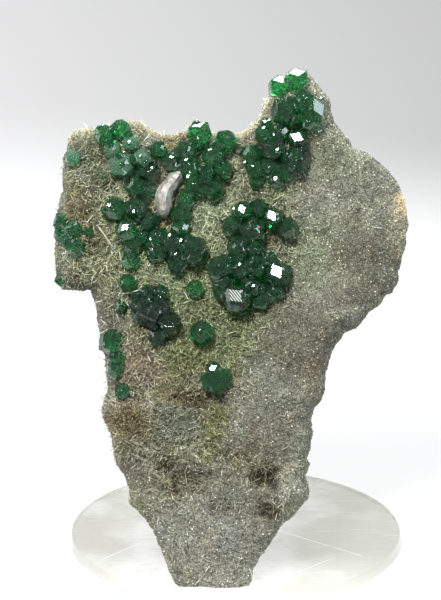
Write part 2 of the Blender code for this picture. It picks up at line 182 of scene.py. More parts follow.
def long_scratch(tree, place, start, end, width):
    """One deep scratch on the disc's top between two points in millimetres: 1 within its width."""
    start, run = Vector((*start, 0)) * MM, (Vector((*end, 0)) - Vector((*start, 0))) * MM
    across = Vector((-run.y, run.x, 0)).normalized()
    offset = add_node(tree, "ShaderNodeVectorMath", {0: place, 1: start}, operation="SUBTRACT").outputs[0]
    off, share = (
        add_node(tree, "ShaderNodeVectorMath", {0: offset, 1: way}, operation="DOT_PRODUCT").outputs["Value"]
        for way in (across, run / run.length_squared)
    )
    near = add_node(tree, "ShaderNodeMath", {0: off, 1: 0.0, 2: width / 2 * MM}, operation="COMPARE")
    within = add_node(tree, "ShaderNodeMath", {0: share, 1: 0.5, 2: 0.5}, operation="COMPARE")
    both = add_node(tree, "ShaderNodeMath", {0: near.outputs[0], 1: within.outputs[0]}, operation="MULTIPLY")
    return both.outputs[0]


def strongest(tree, marks):
    """The greatest of several marks at each place."""
    most = marks[0]
    for other in marks[1:]:
        most = add_node(tree, "ShaderNodeMath", {0: most, 1: other}, operation="MAXIMUM").outputs[0]
    return most


# Clear acrylic, cast and polished: it bends the floor's white a little and mirrors the room faintly. Its base
# colour greys with noise as haze, and towards both sides as painted shade. The scratches and scuffs are on
# its flat faces only, and show as thin pale or grey lines.
acrylic, tree, shader, place = new_material("clear_cast_acrylic", Transmission_Weight=0.93, IOR=1.49)
haze = add_node(tree, "ShaderNodeTexNoise", {"Vector": place, "Scale": 1 / (9 * MM), "Detail": 4}).outputs[0]
side = add_node(tree, "ShaderNodeSeparateXYZ", {0: place}).outputs[0]
aside = add_node(tree, "ShaderNodeMath", {0: side, 1: -LIGHTEST_AT * MM}, operation="ADD").outputs[0]
aside = add_node(tree, "ShaderNodeMath", {0: aside}, operation="ABSOLUTE").outputs[0]
least, most = GREYING
# Painted shade: the disc greys with distance to each side of its lightest place.
painted_side_shade = add_node(
    tree, "ShaderNodeMapRange",
    {"Value": aside, "From Min": 0.0, "From Max": GREYS_OVER * MM, "To Min": least, "To Max": most},
).outputs[0]  # fmt: skip
shaded = add_node(tree, "ShaderNodeMath", {0: haze, 1: painted_side_shade}, operation="ADD").outputs[0]
greyed = add_node(
    tree, "ShaderNodeMapRange", {"Value": shaded, "From Min": 0.35, "From Max": 0.65}
).outputs[0]
outwards = add_node(tree, "ShaderNodeNewGeometry").outputs["Normal"]
upright = add_node(tree, "ShaderNodeSeparateXYZ", {0: outwards}).outputs[2]
upright = add_node(tree, "ShaderNodeMath", {0: upright}, operation="ABSOLUTE").outputs[0]
flat = add_node(tree, "ShaderNodeMath", {0: upright, 1: 0.9}, operation="GREATER_THAN").outputs[0]
scratches = [scratch_lines(tree, place, *lines) for lines in SCRATCH_SETS]
scratches += [long_scratch(tree, place, *line) for line in LONG_SCRATCHES]
scratches = add_node(
    tree, "ShaderNodeMath", {0: strongest(tree, scratches), 1: flat}, operation="MULTIPLY"
).outputs[0]
scuffs = strongest(tree, [scratch_lines(tree, place, *lines) for lines in SCUFF_SETS])
scuffs = add_node(tree, "ShaderNodeMath", {0: scuffs, 1: flat}, operation="MULTIPLY").outputs[0]
scuffs = add_node(tree, "ShaderNodeMath", {0: scuffs, 1: SCUFF_STRENGTH}, operation="MULTIPLY").outputs[0]
tinted = linear(ACRYLIC)
for share, colour in ((greyed, ACRYLIC_HAZE_AND_SHADE), (scuffs, ACRYLIC_SCUFF), (scratches, "#ffffff")):
    tinted = add_node(
        tree, "ShaderNodeMix", {0: share, 6: tinted, 7: linear(colour)}, data_type="RGBA"
    ).outputs[2]
tree.links.new(tinted, shader.inputs["Base Color"])
rough = add_node(
    tree, "ShaderNodeMapRange",
    {"Value": haze, "From Min": 0.4, "From Max": 0.75, "To Min": 0.02, "To Max": 0.1},
).outputs[0]  # fmt: skip
scratched = add_node(tree, "ShaderNodeMath", {0: scratches, 1: 0.2, 2: rough}, operation="MULTIPLY_ADD")
tree.links.new(scratched.outputs[0], shader.inputs["Roughness"])
disc_mesh = closed_surface("clear_disc", turned(disc_profile(), DISC_SIDES))
add_piece("clear_disc", disc_mesh, acrylic, ["acrylic_disc"], sharp_angle=40)

# 2. The host rock: a slab broken from a fissure wall, shaped like a shield with a horn at its
# upper right. Its skin is a crust of sugary grains, smooth on the right and the foot, and rough
# with fine needles where the garnets grow. It stands by its flat foot, held by nothing.

UNIT = 2 * DISC_RADIUS / 328  # millimetres to a unit of the front view, where the disc is 328 across
VIEW_CENTRE = (236, 530)  # where the middle of the disc's top shows, y downwards
VIEW_ELEVATION = math.radians(22.5)
VIEW_DISTANCE = 900.0
FACE_LEAN = math.radians(12)
FOOT_EDGE_IN_VIEW = 589
THICKNESS_HEIGHTS = (0, 12, 40, 62, 80)
THICKNESSES = (18.5, 17, 16, 12, 9)
RIM_SHARE = 0.36
FRONT_ROUNDING = 3.2
SHOULDER_ROUNDING = 5.0
BACK_ROUNDING = 5.5
SLAB_ROWS = 256
SLAB_COLUMNS = 176
CROWDING = 0.55  # how far the grid's lines crowd towards the rim, where the slab rolls over

# The outline in view units, clockwise from the tip of the horn, and the four corners that part it.
OUTLINE = [
    (300, 71), (307, 71), (313, 77), (319, 85), (325, 92), (330, 98), (331, 110), (334, 121),
    (341, 129), (348, 138), (353, 147), (362, 149), (370, 154), (379, 162), (387, 170), (394, 179),
    (399, 189), (403, 200), (406, 212), (407, 225), (405, 233), (407, 241), (404, 254), (401, 265),
    (398, 271), (398, 280), (391, 291), (384, 295), (382, 302), (370, 310), (362, 320), (357, 327),
    (345, 333), (338, 342), (332, 352), (328, 366), (324, 376), (324, 387), (320, 399), (314, 406),
    (310, 419), (312, 434), (311, 449), (307, 459), (310, 464), (305, 476), (310, 491), (308, 499),
    (300, 507), (290, 519), (279, 526), (271, 541), (261, 555), (253, 567), (252, 580), (248, 590),
    (247, 612), (212, 625), (184, 613), (181, 590), (173, 577), (168, 562), (162, 547), (153, 528),
    (146, 517), (134, 508), (129, 502), (130, 489), (124, 473), (114, 460), (113, 449), (110, 432),
    (104, 418), (103, 408), (108, 392), (107, 374), (105, 355), (100, 338), (97, 318), (94, 302),
    (90, 290), (76, 290), (63, 289), (59, 279), (58, 262), (58, 247), (56, 231), (58, 212), (60, 195),
    (63, 176), (66, 158), (69, 140), (75, 131), (88, 128), (101, 126), (114, 124), (128, 123),
    (138, 121), (146, 126), (153, 131), (166, 133), (179, 131), (191, 127), (203, 127), (213, 133),
    (227, 135), (241, 134), (250, 127), (258, 116), (266, 104), (271, 97), (278, 87), (289, 77),
]  # fmt: skip
HORN_CORNER = (307, 71)
FOOT_RIGHT = (248, 590)
FOOT_LEFT = (181, 590)
LEFT_CORNER = (69, 140)

# Swells, roughness and holes: layers of noise, each (height, cell, seed), in millimetres.
FRONT_SWELLS = ((0.8, 13, 1), (0.45, 6, 2), (0.2, 3, 3))
BACK_SWELLS = ((1.5, 15, 5), (0.9, 7, 6), (0.4, 3.5, 7))
CRUST_LUMPS = ((0.35, 5, 40), (0.3, 2.6, 41), (0.22, 1.3, 42))
CRUST_GRAINS = ((0.17, 0.75, 43), (0.12, 0.45, 44))
CRUST_HOLES = ((0.7, 1.0, 59), (0.6, 0.5, 60))
HOLE_DEPTH = 0.45
LOBE_START = 300  # right of this, in view units, the front falls back along a parabola
LOBE_REACH = 16
LOBE_FALL = 2.4
LEDGE = ((112, 459), (150, 456), (185, 464), (222, 473), (255, 478))
LEDGE_END = 262
LEDGE_STEP = 1.0
LEDGE_SOFTNESS = 0.5
RIDGE = ((336, 296), (292, 362), (258, 432))
RIDGE_HEIGHT = 1.0
RIDGE_WIDTH = 4.2
PITS = [  # (x, y, radius, depth)
    (165, 464, 9, 1.3), (264, 476, 11, 1.5), (176, 488, 9, 0.9), (268, 508, 9, 0.9),
    (254, 451, 8, 0.7), (103, 186, 8, 0.6),
]  # fmt: skip


def view_mm(point):
    """Millimetres right of and above the view's centre, from a point in view units."""
    return (point[0] - VIEW_CENTRE[0]) * UNIT, (VIEW_CENTRE[1] - point[1]) * UNIT


def to_world(a, b, depth):
    """The point seen a to the right and b above the view's centre that lies depth behind it."""
    spread = 1 + depth / VIEW_DISTANCE
    y = depth * math.cos(VIEW_ELEVATION) + b * spread * math.sin(VIEW_ELEVATION)
    z = DISC_THICKNESS - depth * math.sin(VIEW_ELEVATION) + b * spread * math.cos(VIEW_ELEVATION)
    return np.stack([a * spread, y, z], axis=-1) * MM


def to_view(points):
    """The other way: how far right of, above and behind the view's centre points of the world lie."""
    x, y, z = np.moveaxis(points / MM, -1, 0)
    z = z - DISC_THICKNESS
    depth = y * math.cos(VIEW_ELEVATION) - z * math.sin(VIEW_ELEVATION)
    spread = 1 + depth / VIEW_DISTANCE
    b = (y * math.sin(VIEW_ELEVATION) + z * math.cos(VIEW_ELEVATION)) / spread
    return x / spread, b, depth


FOOT_HEIGHT = view_mm((0, FOOT_EDGE_IN_VIEW))[1]
FOOT_DEPTH = FOOT_HEIGHT / (math.tan(VIEW_ELEVATION) - FOOT_HEIGHT / VIEW_DISTANCE)
OUTLINE_MM = np.array([view_mm(point) for point in OUTLINE])


def smooth(t):
    """From 0 to 1 with level ends: 3 t squared less 2 t cubed."""
    t = np.clip(t, 0, 1)
    return t * t * (3 - 2 * t)


def lattice_noise(a, b, cell, seed):
    """Relief from -1 to 1: random heights on a square lattice of that cell, blended smoothly."""
    size = 32
    heights = np.random.default_rng(seed).uniform(-1, 1, (size, size))
    u, v = a / cell + size / 2, b / cell + size / 2
    i, j = np.floor(u).astype(int), np.floor(v).astype(int)
    across, up = smooth(u - i), smooth(v - j)
    i, j = i % size, j % size
    i_next, j_next = (i + 1) % size, (j + 1) % size
    low = heights[i, j] * (1 - across) + heights[i_next, j] * across
    high = heights[i, j_next] * (1 - across) + heights[i_next, j_next] * across
    return low * (1 - up) + high * up


def solid_noise(points, cell, seed):
    """The same in three dimensions: random values on a cubic lattice, blended smoothly."""
    size = 32
    values = np.random.default_rng(seed).uniform(-1, 1, (size,) * 3)
    scaled = points / (cell * MM)
    low = np.floor(scaled).astype(int)
    share = smooth(scaled - low)
    total = np.zeros(points.shape[:-1])
    for corner in np.ndindex(2, 2, 2):
        weight = np.where(corner, share, 1 - share).prod(-1)
        total += weight * values[tuple(np.moveaxis((low + corner) % size, -1, 0))]
    return total


def layered(noise, where, layers):
    """Noise of several sizes added up, from layers of (height, cell, seed)."""
    return sum(height * noise(*where, cell, seed) for height, cell, seed in layers)


def segment_distance(a, b, starts, sides):
    """How far each point lies from the nearest of a set of straight segments."""
    offsets = np.stack([a, b], axis=-1)[..., None, :] - starts
    share = np.clip((offsets * sides).sum(-1) / (sides**2).sum(-1), 0, 1)
    return np.linalg.norm(offsets - share[..., None] * sides, axis=-1).min(-1)


def rim_distance(a, b):
    """How far each point lies from the slab's outline."""
    distance = segment_distance(a, b, OUTLINE_MM, np.roll(OUTLINE_MM, -1, axis=0) - OUTLINE_MM)
    return np.where(distance < 1e-3, 0, distance)


def face_plane(b):
    """The depth of the slab's leaning front plane at a height."""
    return FOOT_DEPTH - (b - FOOT_HEIGHT) * math.tan(VIEW_ELEVATION - FACE_LEAN)


def thickness(b):
    """How thick the slab is at a height: straight lines between the known thicknesses."""
    return np.interp(b - FOOT_HEIGHT, THICKNESS_HEIGHTS, THICKNESSES)


def rim_depth(a, b):
    """How far the rim lies behind the front: least at the foot, whose sides run straight down."""
    upwards_share = 0.2 + 0.8 * smooth((b - FOOT_HEIGHT - 1) / 14)
    return RIM_SHARE * thickness(b) * (1 + 0.25 * lattice_noise(a, b, 9, 4)) * upwards_share


def edge_share(a, b, rounding):
    """0 at the rim and 1 where the face is flat: the cosine of a quarter round of that width."""
    t = np.clip(rim_distance(a, b) / rounding, 0, 1)
    return np.sqrt(1 - (1 - t) ** 2)


def front_rounding(a, b):
    """How wide the front's rolled edge is: widest on the shoulder at the upper right."""
    shoulder = smooth((a - view_mm((325, 0))[0]) / 9) * smooth((b - view_mm((0, 330))[1]) / 9)
    return FRONT_ROUNDING + SHOULDER_ROUNDING * shoulder + 0.9 * lattice_noise(a, b, 10, 9)


def front_relief(a, b):
    """The front's broken forms: swells, a ledge over the foot, a ridge and a few pits."""
    relief = layered(lattice_noise, (a, b), FRONT_SWELLS)
    relief += LOBE_FALL * np.clip((a - view_mm((LOBE_START, 0))[0]) / LOBE_REACH, 0, 2) ** 2
    ledge = np.array([view_mm(point) for point in LEDGE])
    above = b - np.interp(a, ledge[:, 0], ledge[:, 1]) + 1.3 * lattice_noise(a, b, 3.5, 10)
    beside = smooth((view_mm((LEDGE_END, 0))[0] - a) / 4) * (0.6 + 0.5 * lattice_noise(a, b, 5, 8))
    relief += LEDGE_STEP * (1 - smooth(above / LEDGE_SOFTNESS + 0.5)) * beside
    ridge = np.array([view_mm(point) for point in RIDGE])
    off_ridge = segment_distance(a, b, ridge[:-1], ridge[1:] - ridge[:-1])
    relief -= RIDGE_HEIGHT * np.exp(-((off_ridge / RIDGE_WIDTH) ** 2))
    for x, y, radius, depth in PITS:
        middle_a, middle_b = view_mm((x, y))
        off = np.hypot(a - middle_a, b - middle_b) / (radius * UNIT)
        relief += depth * np.exp(-(off**2) * 1.5)
    return relief


def front_depth(a, b):
    """The front: its leaning plane and relief, rolled back to the rim round the outline."""
    edge = edge_share(a, b, front_rounding(a, b))
    return face_plane(b) + rim_depth(a, b) * (1 - edge) + front_relief(a, b) * edge


def back_depth(a, b):
    """The back: a rough break at the slab's thickness, rolled forward to the same rim."""
    relief = layered(lattice_noise, (a, b), BACK_SWELLS)
    edge = edge_share(a, b, BACK_ROUNDING)
    behind_rim = thickness(b) - rim_depth(a, b)
    return face_plane(b) + thickness(b) - behind_rim * (1 - edge) + relief * edge


def outline_run(first, last):
    """The outline's points from one corner clockwise to another."""
    start, end = OUTLINE.index(first), OUTLINE.index(last)
    turned_outline = np.roll(OUTLINE_MM, -start, axis=0)
    return turned_outline[: (end - start) % len(OUTLINE) + 1]


def along(line, shares):
    """Points at those shares of a line's length."""
    steps = np.linalg.norm(np.diff(line, axis=0), axis=1)
    passed = np.concatenate([[0], np.cumsum(steps)]) / steps.sum()
    return np.stack([np.interp(shares, passed, line[:, axis]) for axis in (0, 1)], axis=-1)


def crowded(count):
    """Even steps from 0 to 1, drawn towards both ends by part of a cosine."""
    t = np.linspace(0, 1, count)
    return (1 - CROWDING) * t + CROWDING * (1 - np.cos(math.pi * t)) / 2


def slab_grid():
    """The slab as rows from foot to top, each a loop across the front and back behind it. A point
    (s, t) of a sheet lies between the outline's runs: the blend of left and right by s, plus that
    of foot and top by t, less that of the corners, which both of them hold. One more row, midway
    between front and back, closes the flat foot."""
    s, t = crowded(SLAB_COLUMNS)[None, :, None], crowded(SLAB_ROWS)[:, None, None]
    left = along(outline_run(FOOT_LEFT, LEFT_CORNER), crowded(SLAB_ROWS))[:, None]
    right = along(outline_run(HORN_CORNER, FOOT_RIGHT)[::-1], crowded(SLAB_ROWS))[:, None]
    bottom = (1 - s) * left[:1] + s * right[:1]
    top = along(outline_run(LEFT_CORNER, HORN_CORNER), crowded(SLAB_COLUMNS))[None]
    corners = (1 - t) * ((1 - s) * bottom[:, :1] + s * bottom[:, -1:])
    corners = corners + t * ((1 - s) * top[:, :1] + s * top[:, -1:])
    sheet = (1 - s) * left + s * right + (1 - t) * bottom + t * top - corners
    a, b = np.moveaxis(sheet, -1, 0)
    front = to_world(a, b, front_depth(a, b))
    back = to_world(a, b, back_depth(a, b))
    foot = (front[:1] + back[:1]) / 2
    front, back = np.concatenate([foot, front]), np.concatenate([foot, back])
    return np.concatenate([front, back[:, -2:0:-1]], axis=1)


def sugar_share(a, b):
    """1 where the crust is smooth and sugary: on the right, on the foot and in a spot at the left,
    each with a ragged edge. 0 among the needles."""
    x = VIEW_CENTRE[0] + a / UNIT + 14 * lattice_noise(a, b, 5, 31)
    y = VIEW_CENTRE[1] - b / UNIT + 14 * lattice_noise(a, b, 5, 32)
    right = smooth((x - np.interp(y, (60, 180, 300, 380, 440), (312, 300, 285, 235, 225))) / 40 + 0.5)
    foot = smooth((y - np.interp(x, (100, 180, 300), (470, 452, 488))) / 30 + 0.5)
    spot = smooth(2.2 - 2 * np.hypot((x - 182) / 24, (y - 428) / 20))
    return np.maximum(np.maximum(right, foot), 0.9 * spot)


def sugary(points):
    """The same at points of the world."""
    a, b, _ = to_view(points)
    return sugar_share(a, b)


CAVITIES = [  # (x, y, half width, half height) of the places where the crust is open and pitted
    (165, 466, 18, 9), (180, 484, 30, 18), (264, 476, 20, 15), (270, 508, 20, 13), (128, 424, 26, 20),
    (190, 402, 32, 12), (104, 186, 20, 15), (84, 208, 22, 24), (96, 252, 16, 12), (236, 462, 30, 10),
    (225, 505, 22, 8), (140, 380, 26, 14),
]  # fmt: skip


def pitted_share(points):
    """1 in the places on the front where the crust is open and pitted, fading at their edges."""
    a, b, depth = to_view(points)
    x, y = VIEW_CENTRE[0] + a / UNIT, VIEW_CENTRE[1] - b / UNIT
    pitted = np.zeros(len(points))
    for middle_x, middle_y, wide, high in CAVITIES:
        off = np.hypot((x - middle_x) / wide, (y - middle_y) / high)
        pitted = np.maximum(pitted, 1 - smooth((off - 0.45) / 0.6))
    return pitted * (depth < face_plane(b) + rim_depth(a, b))


def cavity_share(points):
    """1 in the small dark holes of the crust: noise above a level, inside the pitted places."""
    holes = layered(solid_noise, (points,), CRUST_HOLES)
    return pitted_share(points) * smooth((holes - 0.02) / 0.3)


def mesh_values(items, name, kind=np.float32):
    """Three values of each of a mesh's points, faces or triangles, as an array of rows."""
    values = np.empty(len(items) * 3, kind)
    items.foreach_get(name, values)
    return values.reshape(-1, 3)


def roughened(mesh):
    """Moves the slab's skin in and out along its normals by noise of several sizes, more among the
    needles than on the sugary parts, and inwards at the crust's holes. The foot stays flat."""
    points = mesh_values(mesh.vertices, "co").astype(float)
    normals = mesh_values(mesh.vertices, "normal").astype(float)
    sugar = sugary(points)
    push = layered(solid_noise, (points,), CRUST_LUMPS) * (1 - 0.35 * sugar)
    push += layered(solid_noise, (points,), CRUST_GRAINS) * (1 - 0.3 * sugar)
    push -= HOLE_DEPTH * cavity_share(points)
    points += normals * push[:, None] * MM
    points[:, 2] = np.maximum(points[:, 2], (DISC_THICKNESS + 0.02) * MM)
    mesh.vertices.foreach_set("co", points.astype(np.float32).ravel())
    mesh.update()
    return mesh


# The crust's colours: a grey ground, with patches where other minerals or rust tint it. The dark patches at
# the pits and under the ledge are painted shade. Each patch is (x, y, half width, half height, colour,
# strength), in view units, and fades out at its edge.
ROCK_GREY = "#8f8e7b"
ROCK_BACK = "#87836f"
# Painted shade in the crust's small holes: the near black that fills them.
ROCK_HOLE_SHADE = "#2c2617"
NEEDLES_SHADE = 0.45  # how much of the light the needles keep off the slab under them
# A painted rim light: the pale colour along the top edge, where the lamp from behind catches it.
ROCK_RIM_LIGHT = "#e2dfb6"  # the broken edge along the top
ROCK_MOTTLE = ((0.16, 4, 55), (0.18, 1.5, 56), (0.2, 0.6, 57))  # noise layers, as above
ROCK_PATCHES = [
    (98, 215, 62, 90, "#9a9f82", 0.9), (185, 275, 75, 60, "#9aa682", 0.9),
    (205, 205, 40, 50, "#a4ae8c", 0.9), (210, 330, 70, 50, "#868f6a", 0.9),
    (265, 200, 40, 60, "#818a6a", 0.7), (310, 250, 34, 40, "#869072", 0.7),
    (360, 195, 52, 55, "#93937f", 0.9), (370, 258, 45, 50, "#767360", 0.9),
    (300, 345, 50, 45, "#6b6856", 0.85), (262, 400, 34, 44, "#898a7b", 0.8),
    (180, 428, 30, 26, "#7b8070", 0.9), (215, 540, 62, 54, "#939284", 0.95),
    (292, 490, 26, 24, "#9d9a85", 0.8), (403, 205, 10, 24, "#d9c19a", 0.9),
    (398, 240, 12, 30, "#a39a80", 0.6), (137, 368, 30, 22, "#928576", 0.75),
    (128, 424, 32, 22, "#77694f", 0.8), (192, 400, 28, 12, "#4f4630", 0.9),
    (168, 392, 18, 10, "#6b5f45", 0.6), (213, 428, 14, 24, "#7d8058", 0.85),
    (212, 455, 9, 8, "#a3a67c", 0.9), (104, 186, 12, 8, "#4f472f", 0.8),
    (76, 205, 20, 24, "#75654c", 0.6), (95, 240, 20, 14, "#6f6a4c", 0.6),
    (265, 476, 13, 11, "#3f3624", 0.9), (268, 508, 11, 9, "#54472f", 0.8),
    (165, 462, 10, 8, "#423a28", 0.9), (188, 474, 14, 7, "#5f5038", 0.7),
    (176, 488, 12, 8, "#6b6350", 0.6), (99, 174, 12, 9, "#5f7f58", 0.6),
    (88, 131, 12, 7, "#a7aa76", 0.8), (140, 127, 12, 8, "#9a8f6c", 0.8),
    (176, 143, 16, 10, "#95895f", 0.8), (164, 226, 11, 13, "#b3a982", 0.9),
    (270, 240, 9, 12, "#6b5a42", 0.7), (82, 158, 10, 9, "#a9aca0", 0.7),
    (138, 508, 12, 16, "#8c9068", 0.6), (330, 160, 24, 22, "#7e846a", 0.7),
    (355, 296, 26, 14, "#7b705e", 0.6), (318, 380, 12, 40, "#7f705c", 0.6),
    (240, 452, 40, 12, "#77705a", 0.6), (150, 480, 40, 10, "#77715c", 0.6),
    (90, 150, 26, 14, "#7d7f66", 0.6), (180, 364, 26, 24, "#6c7150", 0.8),
    (122, 452, 14, 12, "#857f6a", 0.8), (185, 520, 22, 16, "#848473", 0.7),
    (270, 430, 26, 18, "#837b69", 0.6),
]  # fmt: skip


def rock_tint(points):
    """The crust's linear colour at points of the world: the ground, each patch in turn with a ragged edge, a
    painted rim light along the top edge, the back's colour behind the rim, then mottling by noise from grain
    size up to a few millimetres."""
    a, b, depth = to_view(points)
    x = VIEW_CENTRE[0] + a / UNIT + 7 * lattice_noise(a, b, 3, 51) + 4 * lattice_noise(a, b, 1.2, 52)
    y = VIEW_CENTRE[1] - b / UNIT + 7 * lattice_noise(a, b, 3, 53) + 4 * lattice_noise(a, b, 1.2, 54)
    tint = np.tile(linear(ROCK_GREY)[:3], (len(points), 1))
    for middle_x, middle_y, wide, high, code, strength in ROCK_PATCHES:
        off = np.hypot((x - middle_x) / wide, (y - middle_y) / high)
        share = (strength * (1 - smooth((off - 0.45) / 0.75)))[:, None]
        tint = tint * (1 - share) + np.array(linear(code)[:3]) * share
    # Painted rim light: the crust is paled in a thin band along the top edge.
    top_run = outline_run(LEFT_CORNER, HORN_CORNER)
    off_top = segment_distance(a, b, top_run[:-1], top_run[1:] - top_run[:-1])
    painted_rim_light = 0.85 * np.exp(-((off_top / 0.6) ** 2))[:, None]
    tint = tint * (1 - painted_rim_light) + np.array(linear(ROCK_RIM_LIGHT)[:3]) * painted_rim_light
    behind = smooth((depth - face_plane(b) - rim_depth(a, b)) / 2.5)[:, None]
    tint = tint * (1 - behind) + np.array(linear(ROCK_BACK)[:3]) * behind
    mottle = layered(solid_noise, (points,), ROCK_MOTTLE)
    warm = 0.05 * solid_noise(points, 2.2, 58)[:, None] * np.array([1, 0, -1])
    return np.clip(tint * (1 + mottle[:, None]) * (1 + warm), 0.005, 1)


def colour_points(mesh, colours):
    """Keeps a linear colour for each of a mesh's points, which its material reads as tint."""
    kept = mesh.attributes.new("tint", "FLOAT_COLOR", "POINT")
    kept.data.foreach_set("color", np.insert(colours, 3, 1, axis=1).astype(np.float32).ravel())


# Host rock, a crust of pyroxene and calcium silicate grains as it grew: the grains are too fine
# to show one by one, so they are drawn at 0.2 mm. They give it a sugary, sparkling roughness.
rock_crust, tree, shader, place = new_material("sugary_rock_crust", IOR=1.58, Specular_IOR_Level=0.5)
tint = add_node(tree, "ShaderNodeAttribute", attribute_name="tint").outputs["Color"]
grain = add_node(tree, "ShaderNodeTexVoronoi", {"Vector": place, "Scale": 1 / (0.22 * MM)}).outputs["Color"]
speckle, roughness = (
    add_node(
        tree, "ShaderNodeMapRange",
        {"Value": grain, "From Min": start, "From Max": end, "To Min": low, "To Max": high},
    ).outputs[0]
    for start, end, low, high in ((0.2, 0.8, 0.3, 1.3), (0.3, 0.9, 0.85, 0.3))
)  # fmt: skip
mixed = add_node(tree, "ShaderNodeVectorMath", {0: tint, 3: speckle}, operation="SCALE")
tree.links.new(mixed.outputs[0], shader.inputs["Base Color"])
tree.links.new(roughness, shader.inputs["Roughness"])
pores = add_node(tree, "ShaderNodeTexNoise", {"Vector": place, "Scale": 1 / (0.3 * MM), "Detail": 3})
relief = add_node(tree, "ShaderNodeBump", {"Height": pores.outputs[0], "Strength": 1.0, "Distance": 0.4 * MM})
tree.links.new(relief.outputs[0], shader.inputs["Normal"])
rock_mesh = roughened(closed_surface("rock_slab", slab_grid()))
rock_points = mesh_values(rock_mesh.vertices, "co").astype(float)
under_needles = 1 - NEEDLES_SHADE * (1 - sugary(rock_points))[:, None]
# Painted shade: the slab is darkened in its small holes.
painted_hole_shade = 0.85 * cavity_share(rock_points)[:, None]
slab_tint = rock_tint(rock_points) * under_needles * (1 - painted_hole_shade) + np.array(linear(ROCK_HOLE_SHADE)[:3]) * painted_hole_shade
colour_points(rock_mesh, slab_tint)
add_piece("rock_slab", rock_mesh, rock_crust, ["host_rock"], sharp_angle=180)

# 3. The crust's grains and needles: short clear to tan prisms that grew at all angles on the slab,
# crossed like straw between the garnets and finer towards the foot. They are rooted in the rock.

GRAIN_SIZE = (0.12, 0.34)  # across, so one or two units of the view
NEEDLE_LENGTH = (0.6, 2.1)
NEEDLE_WIDTH = (0.055, 0.115)
NEEDLE_WARMTH = (1.02, 1.0, 0.92)  # the needles are more straw coloured than the crust
NEEDLE_TILT = (4, 50)  # degrees out of the slab
NEEDLES_A_PIECE = 14500
GRAIN_SPARKS = (0.35, 1.5, 0.06, 3.6)  # as sparked says
NEEDLE_SPARKS = (0.3, 2.4, 0.1, 2.6)

rock_mesh.calc_loop_triangles()
rock_corners = rock_points[mesh_values(rock_mesh.loop_triangles, "vertices", np.int32)]


def scattered(count, wanted, seed):
    """Random places on the slab and its normals there: triangles are drawn by area times how much
    is wanted at each, and a point in each by two random shares of its sides."""
    rng = np.random.default_rng(seed)
    cross = np.cross(rock_corners[:, 1] - rock_corners[:, 0], rock_corners[:, 2] - rock_corners[:, 0])
    middles = rock_corners.mean(1)
    clear_of_foot = middles[:, 2] > (DISC_THICKNESS + 0.25) * MM
    weight = np.linalg.norm(cross, axis=1) * np.clip(wanted(middles), 0, None) * clear_of_foot
    chosen = rng.choice(len(weight), count, p=weight / weight.sum())
    u, v = rng.random((2, count, 1))
    u, v = np.where(u + v > 1, 1 - u, u), np.where(u + v > 1, 1 - v, v)
    first, second, third = np.moveaxis(rock_corners[chosen], 1, 0)
    normals = cross[chosen] / np.linalg.norm(cross[chosen], axis=1, keepdims=True)
    return first + (second - first) * u + (third - first) * v, normals, rng


def any_turn(rng, count):
    """Random rotation matrices, from random unit quaternions."""
    w, x, y, z = np.moveaxis(rng.normal(size=(count, 4)), -1, 0)
    length = np.sqrt(w * w + x * x + y * y + z * z)
    w, x, y, z = w / length, x / length, y / length, z / length
    rows = [
        [1 - 2 * (y * y + z * z), 2 * (x * y - w * z), 2 * (x * z + w * y)],
        [2 * (x * y + w * z), 1 - 2 * (x * x + z * z), 2 * (y * z - w * x)],
        [2 * (x * z - w * y), 2 * (y * z + w * x), 1 - 2 * (x * x + y * y)],
    ]
    return np.moveaxis(np.array(rows), -1, 0)


def repeated(name, shape, faces, places, turns, brightness):
    """One mesh of many copies of a small shape: each point is its place plus its turned corner."""
    points = places[:, None] + np.einsum("nij,kj->nki", turns, shape) * MM
    order = np.arange(len(places))[:, None, None] * len(shape) + faces
    made = mesh_of(name, points.reshape(-1, 3), order.reshape(-1, faces.shape[1]))
    tints = rock_tint(places) * brightness
    colour_points(made, np.repeat(np.clip(tints, 0, 1), len(shape), axis=0))
    return made


# A grain is an eight-sided double pyramid, and a needle a three-sided prism with pointed ends.
GRAIN = np.array([(1, 0, 0), (-1, 0, 0), (0, 1, 0), (0, -1, 0), (0, 0, 1), (0, 0, -1)]) / 2
GRAIN_FACES = np.array(
    [(0, 2, 4), (2, 1, 4), (1, 3, 4), (3, 0, 4), (2, 0, 5), (1, 2, 5), (3, 1, 5), (0, 3, 5)]
)
THIRDS = [(math.cos(t) / 2, math.sin(t) / 2) for t in (0, 2 * math.pi / 3, 4 * math.pi / 3)]
NEEDLE = np.array([
    (0, 0, 0), *[(x, y, 0.08) for x, y in THIRDS], *[(x, y, 0.86) for x, y in THIRDS], (0, 0, 1),
])  # fmt: skip
NEEDLE_FACES = np.array([
    (0, 2, 1), (0, 3, 2), (0, 1, 3), (1, 2, 5), (1, 5, 4), (2, 3, 6), (2, 6, 5), (3, 1, 4), (3, 4, 6),
    (4, 5, 7), (5, 6, 7), (6, 4, 7),
])  # fmt: skip


def sparked(rng, low, high, share, gain, count):
    """Brightness for each small crystal: uneven from low to high, and gain times as bright for that
    share of them, which stands for a facet that mirrors the lamp."""
    return rng.uniform(low, high, count) * np.where(rng.random(count) < share, gain, 1)


def grains(name, count, wanted, seed):
    """Grains half sunk in the slab, each turned and drawn out at random, and few in its holes."""
    places, normals, rng = scattered(count, lambda p: wanted(p) * (1 - 0.9 * cavity_share(p)), seed)
    size = rng.uniform(*GRAIN_SIZE, (len(places), 1, 1)) * rng.uniform(0.6, 1.2, (len(places), 1, 3))
    places = places + normals * rng.uniform(-0.04, 0.08, (len(places), 1)) * MM
    brightness = sparked(rng, *GRAIN_SPARKS, len(places))[:, None]
    return repeated(name, GRAIN, GRAIN_FACES, places, any_turn(rng, len(places)) * size, brightness)


